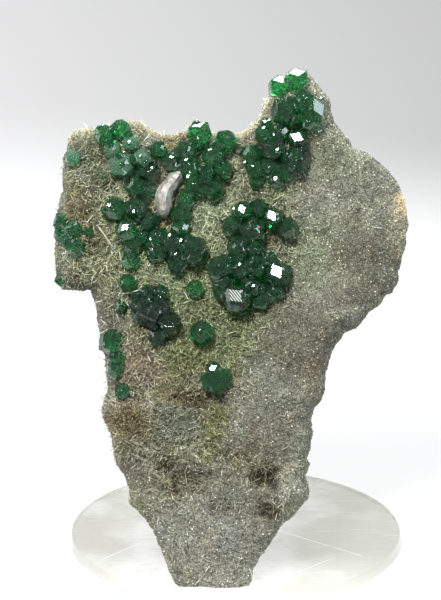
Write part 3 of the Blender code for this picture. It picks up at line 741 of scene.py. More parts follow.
def needles(name, wanted, seed):
    """Needles that start in the slab and lean out of it: each runs along the slab some random way,
    tilted up by its own angle."""
    places, normals, rng = scattered(NEEDLES_A_PIECE, wanted, seed)
    count = len(places)
    level = np.cross(normals, rng.normal(size=(count, 3)))
    level /= np.linalg.norm(level, axis=1, keepdims=True)
    tilt = np.radians(rng.uniform(*NEEDLE_TILT, (count, 1)))
    run = level * np.cos(tilt) + normals * np.sin(tilt)
    side = np.cross(run, normals)
    side /= np.linalg.norm(side, axis=1, keepdims=True)
    other = np.cross(run, side)
    length = rng.uniform(*NEEDLE_LENGTH, (count, 1)) * rng.uniform(0.6, 1, (count, 1))
    width = rng.uniform(*NEEDLE_WIDTH, (count, 1))
    frames = np.stack([side * width, other * width, run * length], axis=-1)
    places = places - normals * 0.05 * MM
    brightness = sparked(rng, *NEEDLE_SPARKS, count)[:, None] * np.array(NEEDLE_WARMTH)
    return repeated(name, NEEDLE, NEEDLE_FACES, places, frames, brightness)


def on_front(points):
    """1 on the slab's front and 0 behind its rim."""
    a, b, depth = to_view(points)
    return 1 - smooth((depth - face_plane(b) - rim_depth(a, b)) / 2)


def in_from_rim(points):
    """1 on the front from 2 mm inside the outline, and less towards the rim, which is worn."""
    a, b, _ = to_view(points)
    return on_front(points) * (0.03 + 0.97 * smooth((rim_distance(a, b) - 0.4) / 2))


def above_ledge(points):
    """1 over the middle of the slab and 0 below it, at the height of the lower garnets."""
    return smooth((to_view(points)[1] - view_mm((0, 345))[1]) / 2 + 0.5)


def needled_low(points):
    """Where needles grow on the lower half: off the sugary crust, and in its open places."""
    return np.maximum(1 - 0.985 * sugary(points), 0.45 * pitted_share(points))


# Clear grains and needles, grown faces: each small facet is smooth, so here and there one mirrors the lamp as
# a spark. A share of them are also painted brighter in their tint, as painted highlights.
clear_grains, tree, shader, place = new_material("grown_grains", IOR=1.6)
tint = add_node(tree, "ShaderNodeAttribute", attribute_name="tint").outputs["Color"]
cloud = add_node(tree, "ShaderNodeTexNoise", {"Vector": place, "Scale": 1 / (0.2 * MM), "Detail": 2})
vary, polish = (
    add_node(
        tree, "ShaderNodeMapRange",
        {"Value": cloud.outputs[0], "From Min": 0.3, "From Max": 0.7, "To Min": low, "To Max": high},
    )
    for low, high in ((0.85, 1.15), (0.08, 0.3))
)  # fmt: skip
mixed = add_node(tree, "ShaderNodeVectorMath", {0: tint, 3: vary.outputs[0]}, operation="SCALE")
tree.links.new(mixed.outputs[0], shader.inputs["Base Color"])
tree.links.new(polish.outputs[0], shader.inputs["Roughness"])

for name, count, wanted, seed in (
    ("grains_right", 23500, lambda p: on_front(p) * sugary(p) * above_ledge(p), 61),
    ("grains_foot", 23500, lambda p: on_front(p) * (0.25 + sugary(p)) * (1 - above_ledge(p)), 62),
    ("grains_among_needles", 16000, lambda p: on_front(p) * (1 - sugary(p)), 63),
    ("grains_behind", 12000, lambda p: 1 - on_front(p), 64),
):
    add_piece(name, grains(name, count, wanted, seed), clear_grains)
for name, wanted, seed in (
    ("needles_upper", lambda p: in_from_rim(p) * (1 - 0.985 * sugary(p)) * above_ledge(p), 65),
    ("needles_lower", lambda p: in_from_rim(p) * needled_low(p) * (1 - above_ledge(p)), 66),
):
    add_piece(name, needles(name, wanted, seed), clear_grains)

# 4. The garnets: grown grossular crystals, each a dodecahedron of twelve rhombs with narrow
# bevels along its edges. Neighbours have grown into one another. They are rooted in the rock.

# Where the camera and the lamps are, in millimetres, as section 7 places them.
EYE_AT = (0, -831.5, 346.4)
LAMP_AT = (-136.9, -369.2, 492.5)
WINDOW_AT = (614.0, -136.4, 347.0)
TOP_LAMP_AT = (59.3, 267.1, 574.1)
DULL = (0.22, -0.97, 0.05)
DULL_SPIN = -14  # degrees that keep its other faces off the lamp
RULED_FACE_AT = (236, 297)  # where the face with growth lines shows, in view units
GLINT, PALE, TOP = "mirrors the lamp", "mirrors the window", "mirrors the top lamp"
GARNET_SEED = 17
# Each garnet: (x, y, mean radius, lift off the rock in radii, facing), the first three in view
# units. Facing holds the way that one rhomb looks or what it mirrors, how many degrees right of
# upright its long diagonal leans, and how far out it lies, as a share of the usual distance, if that
# isn't GLINT_FACE_RISE.
GARNETS = {
    "garnet_cluster_upper_left": [
        (104, 135, 12, 0.35, None), (120, 129, 11, 0.5, None), (112, 149, 10.5, 0.3, None),
        (131, 143, 10, 0.2, None), (121, 165, 14, 0.3, None), (141, 158, 10.5, 0.5, None),
        (158, 149, 10, 0.3, None), (136, 175, 9.5, 0.25, None), (149, 172, 12, 0.4, None),
        (171, 160, 11.5, 0.45, None), (134, 187, 10, 1.0, None), (147, 188, 10, 0.35, None),
        (186, 150, 12.5, 0.4, None), (199, 134, 14, 0.5, None), (213, 156, 13, 0.45, None),
        (226, 141, 12.5, 0.45, None), (222, 169, 11.5, 0.5, None), (190, 168, 13, 0.4, None),
        (205, 175, 9, 0.9, None), (213, 188, 12.5, 0.45, None), (195, 185, 12, 0.35, None),
        (186, 200, 10.5, 0.3, None), (182, 214, 11, 0.35, None), (180, 229, 11, 0.5, (PALE, 80)),
        (115, 208, 13, 0.5, None), (137, 208, 12.5, 0.45, None), (126, 230, 12, 0.65, (GLINT, 45)),
        (143, 197, 10, 0.25, None), (147, 220, 12, 0.35, None), (132, 245, 11.5, 0.4, None),
        (131, 261, 10.5, 0.4, None), (143, 236, 10, 0.3, None), (159, 238, 11, 0.4, None),
        (156, 252, 12.5, 0.4, None), (173, 244, 11, 0.5, None), (194, 250, 16, 0.45, None),
        (178, 262, 12.5, 0.4, None),
    ],
    "garnet_cluster_horn": [
        (280, 87, 13.5, 0.5, (TOP, 86, 1.0)), (296, 80, 13.5, 0.55, (TOP, 84, 0.98)),
        (304, 101, 13, 0.5, None), (284, 111, 14.5, 0.45, None), (310, 119, 12.5, 0.45, None),
        (296, 116, 10, 0.3, None), (313.5, 109, 12.5, 0.8, (PALE, -10, 0.91)),
        (264, 134, 11, 0.4, None), (266, 124, 8, 0.5, (GLINT, 60)), (280, 131, 10, 0.25, None),
        (298, 139, 11, 0.75, (GLINT, 110, 1)), (274, 148, 14, 0.45, None), (296, 160, 14, 0.5, None),
        (299, 149, 12, 0.45, None), (278, 152, 7, 1.4, (GLINT, 20)), (271, 165, 11, 0.35, None),
        (287, 172, 11.5, 0.35, None), (276, 180, 9, 0.6, (GLINT, 35)), (251, 154, 12, 0.4, None),
        (256, 168, 11.5, 0.4, None), (257, 181, 9.5, 0.25, None),
    ],
    "garnet_cluster_centre": [
        (243, 211, 11, 0.75, (GLINT, -21, 1.02)), (258, 208, 10.5, 0.35, None),
        (273, 218, 12, 0.7, (GLINT, -33, 0.99)), (287, 228, 12, 0.45, None), (233, 227, 13, 0.45, None),
        (252, 231, 14.5, 0.45, None), (240, 248, 13.5, 0.45, None), (255, 250, 12, 0.4, None),
        (220, 269, 15, 0.5, None), (239, 269, 13.5, 0.5, None), (256, 269, 12.5, 0.45, None),
        (270, 262, 10.5, 0.4, None), (278, 274, 14.5, 0.65, (GLINT, -35, 0.99)),
        (225, 290, 14, 0.4, None), (237, 299, 16, 0.95, (GLINT, -50, 0.96)),
        (251, 288, 12.5, 0.5, None), (260, 300, 12.5, 0.45, None), (274, 292, 12.5, 0.4, None),
        (241, 309, 9, 0.3, None),
    ],
    "garnet_cluster_lower_left": [
        (150, 307, 19, 0.15, (DULL, 100)), (148, 293, 10, 0.45, None), (161, 294, 10, 0.45, None),
        (137, 302, 10, 0.4, None), (140, 315, 10, 0.45, None), (163, 308, 10.5, 0.55, None),
        (151, 319, 10.5, 0.55, None), (170, 324, 13, 0.4, None), (158, 336, 11, 0.35, None),
        (149, 306, 9, 1.3, None),
    ],
    "garnet_cluster_left_edge": [
        (62, 222, 10, 0.45, None), (62, 235, 9.5, 0.5, None), (73, 229, 10, 0.4, None),
        (75, 247, 11, 0.4, None), (71, 239, 8.5, 0.4, None),
    ],
    "garnet_cluster_left_rim": [
        (112, 342, 14, 0.4, None), (118, 357, 11, 0.35, None), (117, 369, 12, 0.4, None),
    ],
    "garnet_trio_lower": [
        (214, 382, 14.5, 0.5, None), (223, 378, 10.5, 0.6, None), (214, 370, 9.5, 0.7, (GLINT, 60)),
    ],
    "garnet_single_shoulder": [(73, 158, 9.5, 0.35, None)],
    "garnet_single_ledge": [(62, 280, 8, 0.2, None)],
    "garnet_single_beside_edge": [(88, 232, 6.5, 0.2, None)],
    "garnet_single_mid_left": [(128, 283, 10, 0.4, None)],
    "garnet_single_small": [(121, 306, 7, 0.2, None)],
    "garnet_single_mid": [(195, 289, 9.5, 0.3, None)],
    "garnet_single_middle_right": [(202, 333, 13.5, 0.5, None)],
    "garnet_single_low_left": [(123, 391, 9.5, 0.3, None)],
}  # fmt: skip
FACE_DISTANCE = 0.794  # from a crystal's middle to its rhombs, in mean radii
BEVEL_SHARE = (0.9, 0.965)  # how far out the edge bevels lie, as a share of the sharp edge's distance
FACE_SPREAD = 0.045  # how unevenly the rhombs have grown
GLINT_FACE_RISE = 1.05  # the mirroring rhombs stand further out, so they are smaller
UNWANTED_GLINT = math.cos(math.radians(9))  # other faces keep further than this off a lamp's mirror way
SQUARE_ON = math.cos(math.radians(24))  # and cube axes further than this off the eye
VALLEY = (0.7, 0.95)  # neighbours this far apart have a valley: shares of the larger and of both radii
# Small crystals that mirror the lamp: (x, y, radius, degrees that the face leans right of upright).
SPARKLERS = {
    "garnet_cluster_upper_left": [
        (129, 142, 3.5, 70), (172, 158, 6, 85), (140, 156, 2.5, 60), (186, 160, 3.5, 75),
        (109, 206, 4.5, 75), (133.5, 212, 4, 10), (151, 239, 3.5, 0), (170, 236, 4.5, 20),
        (152, 168, 2.5, 0), (188, 177, 3.5, 35), (181, 241, 3.5, 35), (175, 254, 4, 85),
        (103, 125, 2.5, 60), (117, 122, 2, 75), (112, 131, 3, 60), (166, 250, 2.5, 20),
        (124, 152, 2.5, 60),
    ],
    "garnet_cluster_horn": [
        (265, 122, 4.5, 80), (264, 128, 4, 40), (274, 135, 4, 10), (285, 154, 4.5, 5),
        (276, 179, 5, 30), (245, 162, 3, 30), (253, 166, 2.5, 0), (278, 150, 4.5, 15),
        (281, 100, 2.5, 20), (321, 98, 2.5, 60),
    ],
    "garnet_cluster_centre": [(254, 287, 5.5, 60), (240, 265, 3.5, 40), (234, 209, 2.5, 0)],
}  # fmt: skip


def axes_of(kind):
    """All directions that a cube's symmetry makes from one."""
    found = set()
    for order in ((0, 1, 2), (0, 2, 1), (1, 0, 2), (1, 2, 0), (2, 0, 1), (2, 1, 0)):
        for signs in np.ndindex(2, 2, 2):
            found.add(tuple(kind[order[i]] * (1 - 2 * signs[i]) + 0.0 for i in range(3)))
    found = np.array(sorted(found), float)
    return found / np.linalg.norm(found, axis=1, keepdims=True)


RHOMBS = axes_of((1, 1, 0))
FACES = np.concatenate([RHOMBS, axes_of((2, 1, 1))])
LOOKING_RHOMB = int(np.argmax(RHOMBS @ np.array([1, 1, 0])))
COUNTED = np.arange(len(FACES))  # for all sets of three faces, each once
TRIPLES = np.argwhere((COUNTED[:, None, None] < COUNTED[:, None]) & (COUNTED[:, None] < COUNTED))


def half_way(points, lamp):
    """The way a face at each point looks when it mirrors that lamp to the eye: midway between them."""
    to_lamp, to_eye = np.array(lamp) * MM - points, np.array(EYE_AT) * MM - points
    to_lamp /= np.linalg.norm(to_lamp, axis=-1, keepdims=True)
    to_eye /= np.linalg.norm(to_eye, axis=-1, keepdims=True)
    both = to_lamp + to_eye
    return both / np.linalg.norm(both, axis=-1, keepdims=True)


def garnet_turn(index, facing, middle):
    """A crystal's turn: one rhomb square to its facing direction, or random from its own seed and
    then turned on until no rhomb or bevel mirrors a lamp and no cube axis points at the eye, from
    where a crystal would look square."""
    if facing is None:
        angles = np.random.default_rng(GARNET_SEED + index).uniform(0, 2 * math.pi, 3)
        spun = Matrix.Rotation(angles[0], 3, "X") @ Matrix.Rotation(angles[1], 3, "Y")
        spun = spun @ Matrix.Rotation(angles[2], 3, "Z")
        mirroring = np.stack([half_way(middle, lamp) for lamp in (LAMP_AT, WINDOW_AT, TOP_LAMP_AT)], axis=-1)
        to_eye = np.array(EYE_AT) / np.linalg.norm(EYE_AT)
        while (
            (FACES @ np.array(spun).T @ mirroring).max() > UNWANTED_GLINT
            or abs(to_eye @ np.array(spun)).max() > SQUARE_ON
        ):
            spun = Matrix.Rotation(0.3, 3, "Z") @ Matrix.Rotation(0.1, 3, "X") @ spun
        return spun
    looking, lean_degrees = facing[:2]
    if looking is DULL:
        lean_degrees += DULL_SPIN
    mirrored = {GLINT: LAMP_AT, PALE: WINDOW_AT, TOP: TOP_LAMP_AT}.get(looking)
    normal = Vector(looking).normalized() if mirrored is None else Vector(half_way(middle, mirrored))
    lean = math.radians(lean_degrees)
    right = Vector((0, 0, 1)).cross(-normal).normalized()
    upright = right.cross(-normal)
    long_diagonal = upright * math.cos(lean) + right * math.sin(lean)
    placed = (normal, long_diagonal, long_diagonal.cross(normal))
    in_crystal = (Vector((1, 1, 0)).normalized(), Vector((1, -1, 0)).normalized(), Vector((0, 0, 1)))
    return Matrix(placed).transposed() @ Matrix(in_crystal)


def mirrors(facing):
    """Whether a crystal is turned so that one face mirrors a lamp."""
    return facing is not None and facing[0] in (GLINT, PALE, TOP)


def crystal_corners(radius, index, facing):
    """A crystal's corners: the points where three of its 36 face planes meet and that lie outside
    none of the others. Each plane is all x with normal . x = distance."""
    rng = np.random.default_rng(400 + index)
    rhomb_distances = FACE_DISTANCE * radius * (1 + FACE_SPREAD * rng.uniform(-1, 1, 12))
    if mirrors(facing):
        rise = facing[2] if len(facing) > 2 else GLINT_FACE_RISE
        rhomb_distances[LOOKING_RHOMB] = FACE_DISTANCE * radius * rise
    sharp_edge = FACE_DISTANCE * radius / math.cos(math.radians(30))
    bevel_distances = sharp_edge * rng.uniform(*BEVEL_SHARE) * (1 + 0.006 * rng.uniform(-1, 1, 24))
    distances = np.concatenate([rhomb_distances, bevel_distances])
    planes = FACES[TRIPLES]
    meet = np.abs(np.linalg.det(planes)) > 1e-3
    points = np.linalg.solve(planes[meet], distances[TRIPLES[meet]][..., None])[..., 0]
    inside = (points @ FACES.T <= distances + 1e-6 * radius).all(axis=1)
    return np.unique(np.round(points[inside], 6), axis=0)


def skin_height(x, y, crystals):
    """How far a cluster stands off the rock at a place, in view units: the highest of its crystals,
    each taken as a ball a little smaller than its mean radius."""
    middle_x, middle_y, radius, lift = np.array([crystal[:4] for crystal in crystals], float).T
    over = 0.78 * radius**2 - (x - middle_x) ** 2 - (y - middle_y) ** 2
    return np.where(over > 0, lift * radius + np.sqrt(np.clip(over, 0, None)), 0).max()


def small_crystals(crystals, sparklers, seed):
    """The small crystals of a cluster: one in each valley between two neighbours, some on the backs
    of the largest, and those that mirror the lamp. None but the last stand on a crystal that mirrors
    one. Each is half sunk in what lies under it."""
    rng = np.random.default_rng(seed)
    spots = []
    for number, (x, y, radius, _, _) in enumerate(crystals):
        for other_x, other_y, other_radius, _, _ in crystals[number + 1 :]:
            apart, both = math.hypot(other_x - x, other_y - y), radius + other_radius
            if VALLEY[0] * max(radius, other_radius) < apart < VALLEY[1] * both:
                share = radius / both
                middle = (x + (other_x - x) * share, y + (other_y - y) * share)
                spot = middle + rng.normal(0, 1.5, 2)
                spots.append((*spot, min(radius, other_radius) * rng.uniform(0.4, 0.6), None))
        for _ in range(int((radius / 9.2) ** 3.6) - 1):
            angle, share = rng.uniform(0, 2 * math.pi), math.sqrt(rng.uniform(0, 0.8))
            spot = (x + math.cos(angle) * share * radius, y + math.sin(angle) * share * radius)
            spots.append((*spot, min(radius, 16) * rng.uniform(0.2, 0.42), None))
    bare = [crystal[:3] for crystal in crystals if mirrors(crystal[4])]
    spots = [spot for spot in spots if all(math.dist(spot[:2], (x, y)) > radius for x, y, radius in bare)]
    spots += [(x, y, radius, (GLINT, lean)) for x, y, radius, lean in sparklers]
    return [
        (x, y, radius, skin_height(x, y, crystals) / radius - (0.1 if facing else 0.4), facing)
        for x, y, radius, facing in spots
    ]


def evaluated_mesh(made, name):
    """The mesh of an object with its modifiers carried out. The object itself is removed."""
    bpy.context.view_layer.update()
    graph = bpy.context.evaluated_depsgraph_get()
    mesh = bpy.data.meshes.new_from_object(made.evaluated_get(graph))
    mesh.name = name
    bpy.data.objects.remove(made)
    return mesh


def room_box():
    """A box round everything, which a Boolean keeps the inside of."""
    form = bmesh.new()
    bmesh.ops.create_cube(form, size=1)
    made = bpy.data.meshes.new("room_box")
    form.to_mesh(made)
    form.free()
    return made


def garnet_mesh(name, crystals):
    """The crystals of one node, each the hull of its corners, set on the rock and grown together:
    a Boolean with a box round them all joins the shells into their outer skin."""
    form = bmesh.new()
    for x, y, radius, lift, facing, number in crystals:
        a, b = view_mm((x, y))
        radius_mm = radius * UNIT
        middle = to_world(a, b, front_depth(np.array(a), np.array(b)) - lift * radius_mm)
        turn = np.array(garnet_turn(number, facing, middle))
        points = middle + crystal_corners(radius_mm, number, facing) @ turn.T * MM
        corners = [form.verts.new(point) for point in points]
        hull = bmesh.ops.convex_hull(form, input=corners, use_existing_faces=False)
        bmesh.ops.delete(form, geom=hull["geom_unused"], context="VERTS")
    bmesh.ops.recalc_face_normals(form, faces=form.faces)
    bmesh.ops.dissolve_limit(form, angle_limit=math.radians(0.5), verts=form.verts, edges=form.edges)
    mesh = bpy.data.meshes.new(name)
    form.to_mesh(mesh)
    form.free()
    if len(crystals) == 1:
        return polished(mesh)
    made = bpy.data.objects.new(name + "_apart", mesh)
    box = bpy.data.objects.new("room_box", room_box())
    for each in (made, box):
        bpy.context.scene.collection.objects.link(each)
    join = made.modifiers.new("grown_together", "BOOLEAN")
    join.operation = "INTERSECT"
    join.solver = "EXACT"
    join.use_self = True
    join.object = box
    joined = evaluated_mesh(made, name)
    bpy.data.objects.remove(box)
    return polished(joined)


def polished(mesh):
    """Marks the faces that mirror a lamp to the eye as flawless, with the attribute mirror at 1, or
    at 0.5 on the one face that is ruled with growth lines."""
    normals = mesh_values(mesh.polygons, "normal")
    centres = mesh_values(mesh.polygons, "center").astype(float)
    mirror = np.zeros(len(centres))
    for lamp in (LAMP_AT, WINDOW_AT, TOP_LAMP_AT):
        mirror[(normals * half_way(centres, lamp)).sum(-1) > math.cos(math.radians(3))] = 1
    a, b, _ = to_view(centres)
    ruled_a, ruled_b = view_mm(RULED_FACE_AT)
    mirror[(mirror > 0) & (np.hypot(a - ruled_a, b - ruled_b) < 1.2)] = 0.5
    mesh.attributes.new("mirror", "FLOAT", "FACE").data.foreach_set("value", mirror.astype(np.float32))
    return mesh


# Grossular garnet, grown crystal faces: glassy, tiled by low growth hillocks that each tilt their
# own way. The green is in the depth of the crystal, so thin edges glow and thick masses go black.
RULING = 0.34  # between the growth lines of the ruled face
RULED_ACROSS = Vector((0.8, 0.281, 0.533))  # the way that the lines follow one another on it
GARNET_VEIL = "#7cd0a0"
# Each shade: (its base, what light through it keeps, how strongly it takes the rest for each metre,
# most wear, size of its hillocks in millimetres, their slope, share of the light that it lets in).
GARNET_SHADES = {
    "bright": ("#a0f8b8", "#00fcc8", 480, 0.04, 1.0, 0.14, 0.97),
    "clear": ("#a8e8bd", "#18f0c8", 880, 0.06, 0.9, 0.16, 0.97),
    "deep": ("#a8e8bd", "#18e8c0", 1250, 0.04, 0.6, 0.18, 0.97),
    "dark": ("#a0d8b4", "#18e0b8", 2000, 0.03, 0.45, 0.17, 0.97),
    "cloudy": ("#b8e0c4", "#30f8bc", 300, 0.35, 1.0, 0.16, 0.84),
}
garnets = {}
for shade, (base, kept_light, strength, most_wear, hillock_size, slope, let_in) in GARNET_SHADES.items():
    garnet, tree, shader, place = new_material(
        f"grossular_garnet_{shade}", Transmission_Weight=let_in, IOR=1.74
    )
    cloud = add_node(tree, "ShaderNodeTexNoise", {"Vector": place, "Scale": 1 / (1.6 * MM), "Detail": 3})
    cloud = cloud.outputs[0]
    veil = add_node(tree, "ShaderNodeMapRange", {"Value": cloud, "From Min": 0.35, "From Max": 0.65})
    tinted = add_node(
        tree, "ShaderNodeMix", {0: veil.outputs[0], 6: linear(base), 7: linear(GARNET_VEIL)}, data_type="RGBA"
    )
    tree.links.new(tinted.outputs[2], shader.inputs["Base Color"])
    tile = add_node(tree, "ShaderNodeTexVoronoi", {"Vector": place, "Scale": 1 / (hillock_size * MM)})
    from_middle = add_node(
        tree, "ShaderNodeVectorMath", {0: place, 1: tile.outputs["Position"]}, operation="SUBTRACT"
    ).outputs[0]
    tilt = add_node(
        tree, "ShaderNodeVectorMath", {0: tile.outputs["Color"], 1: (0.5, 0.5, 0.5)}, operation="SUBTRACT"
    ).outputs[0]
    hillock = add_node(
        tree, "ShaderNodeVectorMath", {0: from_middle, 1: tilt}, operation="DOT_PRODUCT"
    ).outputs["Value"]
    mirror = add_node(tree, "ShaderNodeAttribute", attribute_name="mirror").outputs["Fac"]
    common = add_node(tree, "ShaderNodeMath", {0: mirror, 1: 0.25}, operation="LESS_THAN").outputs[0]
    ruled = add_node(tree, "ShaderNodeMath", {0: mirror, 1: 0.5, 2: 0.1}, operation="COMPARE").outputs[0]
    across = add_node(
        tree, "ShaderNodeVectorMath", {0: place, 1: RULED_ACROSS / (RULING * MM)}, operation="DOT_PRODUCT"
    ).outputs["Value"]
    share = add_node(tree, "ShaderNodeMath", {0: across}, operation="FRACT").outputs[0]
    line = add_node(tree, "ShaderNodeMath", {0: share, 1: 0.45}, operation="LESS_THAN").outputs[0]
    between = add_node(tree, "ShaderNodeMath", {0: ruled, 1: line}, operation="GREATER_THAN").outputs[0]
    line = add_node(tree, "ShaderNodeMath", {0: line, 1: ruled}, operation="MULTIPLY").outputs[0]
    height = add_node(tree, "ShaderNodeMath", {0: hillock, 1: common}, operation="MULTIPLY").outputs[0]
    relief = add_node(tree, "ShaderNodeBump", {"Height": height, "Strength": slope, "Distance": 1.0})
    relief = relief.outputs[0]
    tipped = add_node(tree, "ShaderNodeVectorMath", {0: RULED_ACROSS, 3: line}, operation="SCALE").outputs[0]
    looks = add_node(tree, "ShaderNodeVectorMath", {0: relief, 1: tipped}, operation="ADD").outputs[0]
    looks = add_node(tree, "ShaderNodeVectorMath", {0: looks}, operation="NORMALIZE").outputs[0]
    tree.links.new(looks, shader.inputs["Normal"])
    wear = add_node(
        tree, "ShaderNodeMapRange",
        {"Value": cloud, "From Min": 0.4, "From Max": 0.8, "To Min": 0.01, "To Max": most_wear},
    ).outputs[0]  # fmt: skip
    frosted = add_node(tree, "ShaderNodeMath", {0: between, 1: 0.4, 2: wear}, operation="MULTIPLY_ADD")
    tree.links.new(frosted.outputs[0], shader.inputs["Roughness"])
    taken = add_node(tree, "ShaderNodeVolumeAbsorption", {"Color": linear(kept_light), "Density": strength})
    tree.links.new(taken.outputs[0], tree.nodes["Material Output"].inputs["Volume"])
    garnets[shade] = garnet

CLUSTER_SHADES = {
    "garnet_cluster_centre": "deep", "garnet_cluster_lower_left": "dark", "garnet_trio_lower": "deep",
    "garnet_single_shoulder": "cloudy", "garnet_single_small": "bright", "garnet_single_mid": "bright",
    "garnet_single_beside_edge": "bright", "garnet_single_ledge": "bright",
}  # fmt: skip
# The horn's two tip crystals take the bright shade as painted light: it stands in for their glow where light
# comes through them from behind.
OTHER_SHADES = {  # crystals of another shade than the rest of their cluster, by their places
    (280, 87): "bright", (296, 80): "bright", (120, 129): "bright", (104, 135): "bright",
    (199, 134): "bright", (134, 187): "bright", (131, 261): "bright", (222, 169): "bright",
    (112, 149): "cloudy", (131, 143): "cloudy", (141, 158): "cloudy", (156, 252): "deep",
    (173, 244): "deep", (159, 238): "deep", (178, 262): "deep", (194, 250): "deep", (147, 220): "deep",
    (149, 172): "deep", (137, 208): "deep", (205, 175): "bright", (121, 165): "cloudy",
    (296, 160): "dark", (299, 149): "dark", (274, 148): "deep",
}  # fmt: skip

index = 0
for name, crystals in GARNETS.items():
    shades = {}
    numbered = [(*crystal, index + number) for number, crystal in enumerate(crystals)]
    index += len(crystals)
    if len(crystals) > 3:  # the smallest groups have no more crystals than those listed
        small = small_crystals(crystals, SPARKLERS.get(name, []), index)
        numbered += [(*crystal, 1000 + 100 * index + number) for number, crystal in enumerate(small)]
    common_shade = CLUSTER_SHADES.get(name, "clear")
    for crystal in numbered:
        shades.setdefault(OTHER_SHADES.get(crystal[:2], common_shade), []).append(crystal)
    for shade, alike in shades.items():
        piece_name = f"{name}_{shade}"
        add_piece(piece_name, garnet_mesh(piece_name, alike), garnets[shade], [name])

# 5. The lilac blade: one translucent pinkish grey crystal that lies among the upper garnets, bent
# and broken into blunt facets. It is grown into them.

BLADE_RIDGE = [  # (x, y, half width) in view units
    (163, 219, 1.0), (163, 215, 5.2), (164, 206, 9.0), (164, 197, 9.6), (167, 188, 8.0),
    (173, 181, 7.8), (177.5, 175, 6.4), (181, 169, 2.6), (182.5, 166, 0.6),
]  # fmt: skip
BLADE_HEIGHT = 3.2
BLADE_DARK = "#6f6a66"
BLADE_PALE = "#cdcac0"


def blade_grid():
    """Sections of a few corners along the ridge line: a point is the line, plus the half width
    times cos u across and the height times sin u outwards, both made uneven by coarse noise."""
    line = np.array([view_mm(point[:2]) for point in BLADE_RIDGE])
    half = np.array([point[2] for point in BLADE_RIDGE]) * UNIT
    t = np.linspace(0, len(line) - 1, 17)
    known = np.arange(len(line))
    a, b, half = (np.interp(t, known, values) for values in (*line.T, half))
    run = np.gradient(np.stack([a, b], axis=-1), axis=0)
    run /= np.linalg.norm(run, axis=1, keepdims=True)
    u = np.linspace(0, 2 * math.pi, 9, endpoint=False)
    broken = 1 + 0.16 * lattice_noise(t[:, None], u, 0.9, 71)
    across = half[:, None] * np.cos(u) * broken
    off = BLADE_HEIGHT * np.minimum(1, half[:, None] / (7 * UNIT)) * np.sin(u) * broken
    at_a = a[:, None] + across * run[:, 1:]
    at_b = b[:, None] - across * run[:, :1]
    depth = front_depth(a, b)[:, None] - off
    grid = to_world(at_a, at_b, depth)
    grid[0], grid[-1] = grid[0].mean(0), grid[-1].mean(0)
    return grid


# Pinkish grey silicate, a grown crystal: cloudy and waxy, and paler in places.
blade_crystal, tree, shader, place = new_material(
    "lilac_crystal", IOR=1.6, Subsurface_Weight=0.25, Subsurface_Scale=1.2 * MM
)
cloud = add_node(tree, "ShaderNodeTexNoise", {"Vector": place, "Scale": 1 / (0.7 * MM), "Detail": 5})
spread = add_node(tree, "ShaderNodeMapRange", {"Value": cloud.outputs[0], "From Min": 0.27, "From Max": 0.73})
colours = add_node(
    tree, "ShaderNodeMix",
    {0: spread.outputs[0], 6: linear(BLADE_DARK), 7: linear(BLADE_PALE)}, data_type="RGBA",
)  # fmt: skip
tree.links.new(colours.outputs[2], shader.inputs["Base Color"])
wear = add_node(tree, "ShaderNodeMapRange", {"Value": cloud.outputs[0], "To Min": 0.35, "To Max": 0.6})
tree.links.new(wear.outputs[0], shader.inputs["Roughness"])
relief = add_node(tree, "ShaderNodeBump", {"Height": cloud.outputs[0], "Strength": 0.5, "Distance": 0.2 * MM})
tree.links.new(relief.outputs[0], shader.inputs["Normal"])
blade_mesh = closed_surface("lilac_crystal", blade_grid())
add_piece("lilac_crystal", blade_mesh, blade_crystal, ["lilac_blade"], sharp_angle=5)

# 6. The long pale needles: a few straw coloured crystals much longer than the rest, lying loose
# across the crust on the left.

LONG_NEEDLES = {  # points in view units, and the width in millimetres
    "long_needle_left": ([(97, 225), (105, 236), (113, 248)], 0.26),
    "long_needle_middle": ([(119, 250), (120.5, 259), (122, 269)], 0.2),
    "long_needle_curved": ([(119, 294), (129, 293), (139, 290), (151, 284)], 0.2),
}
NEEDLE_STANDS_OFF = 0.75  # its middle line from the slab, as it lies on top of the short needles
STRAW_DARK = "#a9a588"
STRAW_PALE = "#efeada"


def long_needle_grid(line, width):
    """A thin rod along a line that lies on the rock: six points round it, pointed at both ends."""
    points = np.array([view_mm(point) for point in line])
    t = np.linspace(0, len(points) - 1, 24)
    a, b = (np.interp(t, np.arange(len(points)), values) for values in points.T)
    middle = to_world(a, b, front_depth(a, b) - NEEDLE_STANDS_OFF)
    run = np.gradient(middle, axis=0)
    run /= np.linalg.norm(run, axis=1, keepdims=True)
    side = np.cross(run, (0, -1, 0))
    side /= np.linalg.norm(side, axis=1, keepdims=True)
    other = np.cross(run, side)
    thick = width / 2 * np.minimum(1, 6 * np.minimum(t, t[-1] - t) / t[-1])
    u = np.linspace(0, 2 * math.pi, 6, endpoint=False)
    ring = side[:, None] * np.cos(u)[:, None] + other[:, None] * np.sin(u)[:, None]
    return middle[:, None] + ring * thick[:, None, None] * MM


# Straw coloured prismatic crystal: satiny along its length.
straw, tree, shader, place = new_material("straw_crystal", IOR=1.6)
cloud = add_node(tree, "ShaderNodeTexNoise", {"Vector": place, "Scale": 1 / (0.5 * MM), "Detail": 3})
colours = add_node(
    tree, "ShaderNodeMix",
    {0: cloud.outputs[0], 6: linear(STRAW_DARK), 7: linear(STRAW_PALE)}, data_type="RGBA",
)  # fmt: skip
tree.links.new(colours.outputs[2], shader.inputs["Base Color"])
wear = add_node(tree, "ShaderNodeMapRange", {"Value": cloud.outputs[0], "To Min": 0.15, "To Max": 0.4})
tree.links.new(wear.outputs[0], shader.inputs["Roughness"])
for name, (line, width) in LONG_NEEDLES.items():
    add_piece(name, closed_surface(name, long_needle_grid(line, width)), straw)

# 7. The floor and backdrop: one pale sweep that is white under the specimen and greys behind it,
# soft lamps in front, at both sides and above, and the camera at the front view's angle.

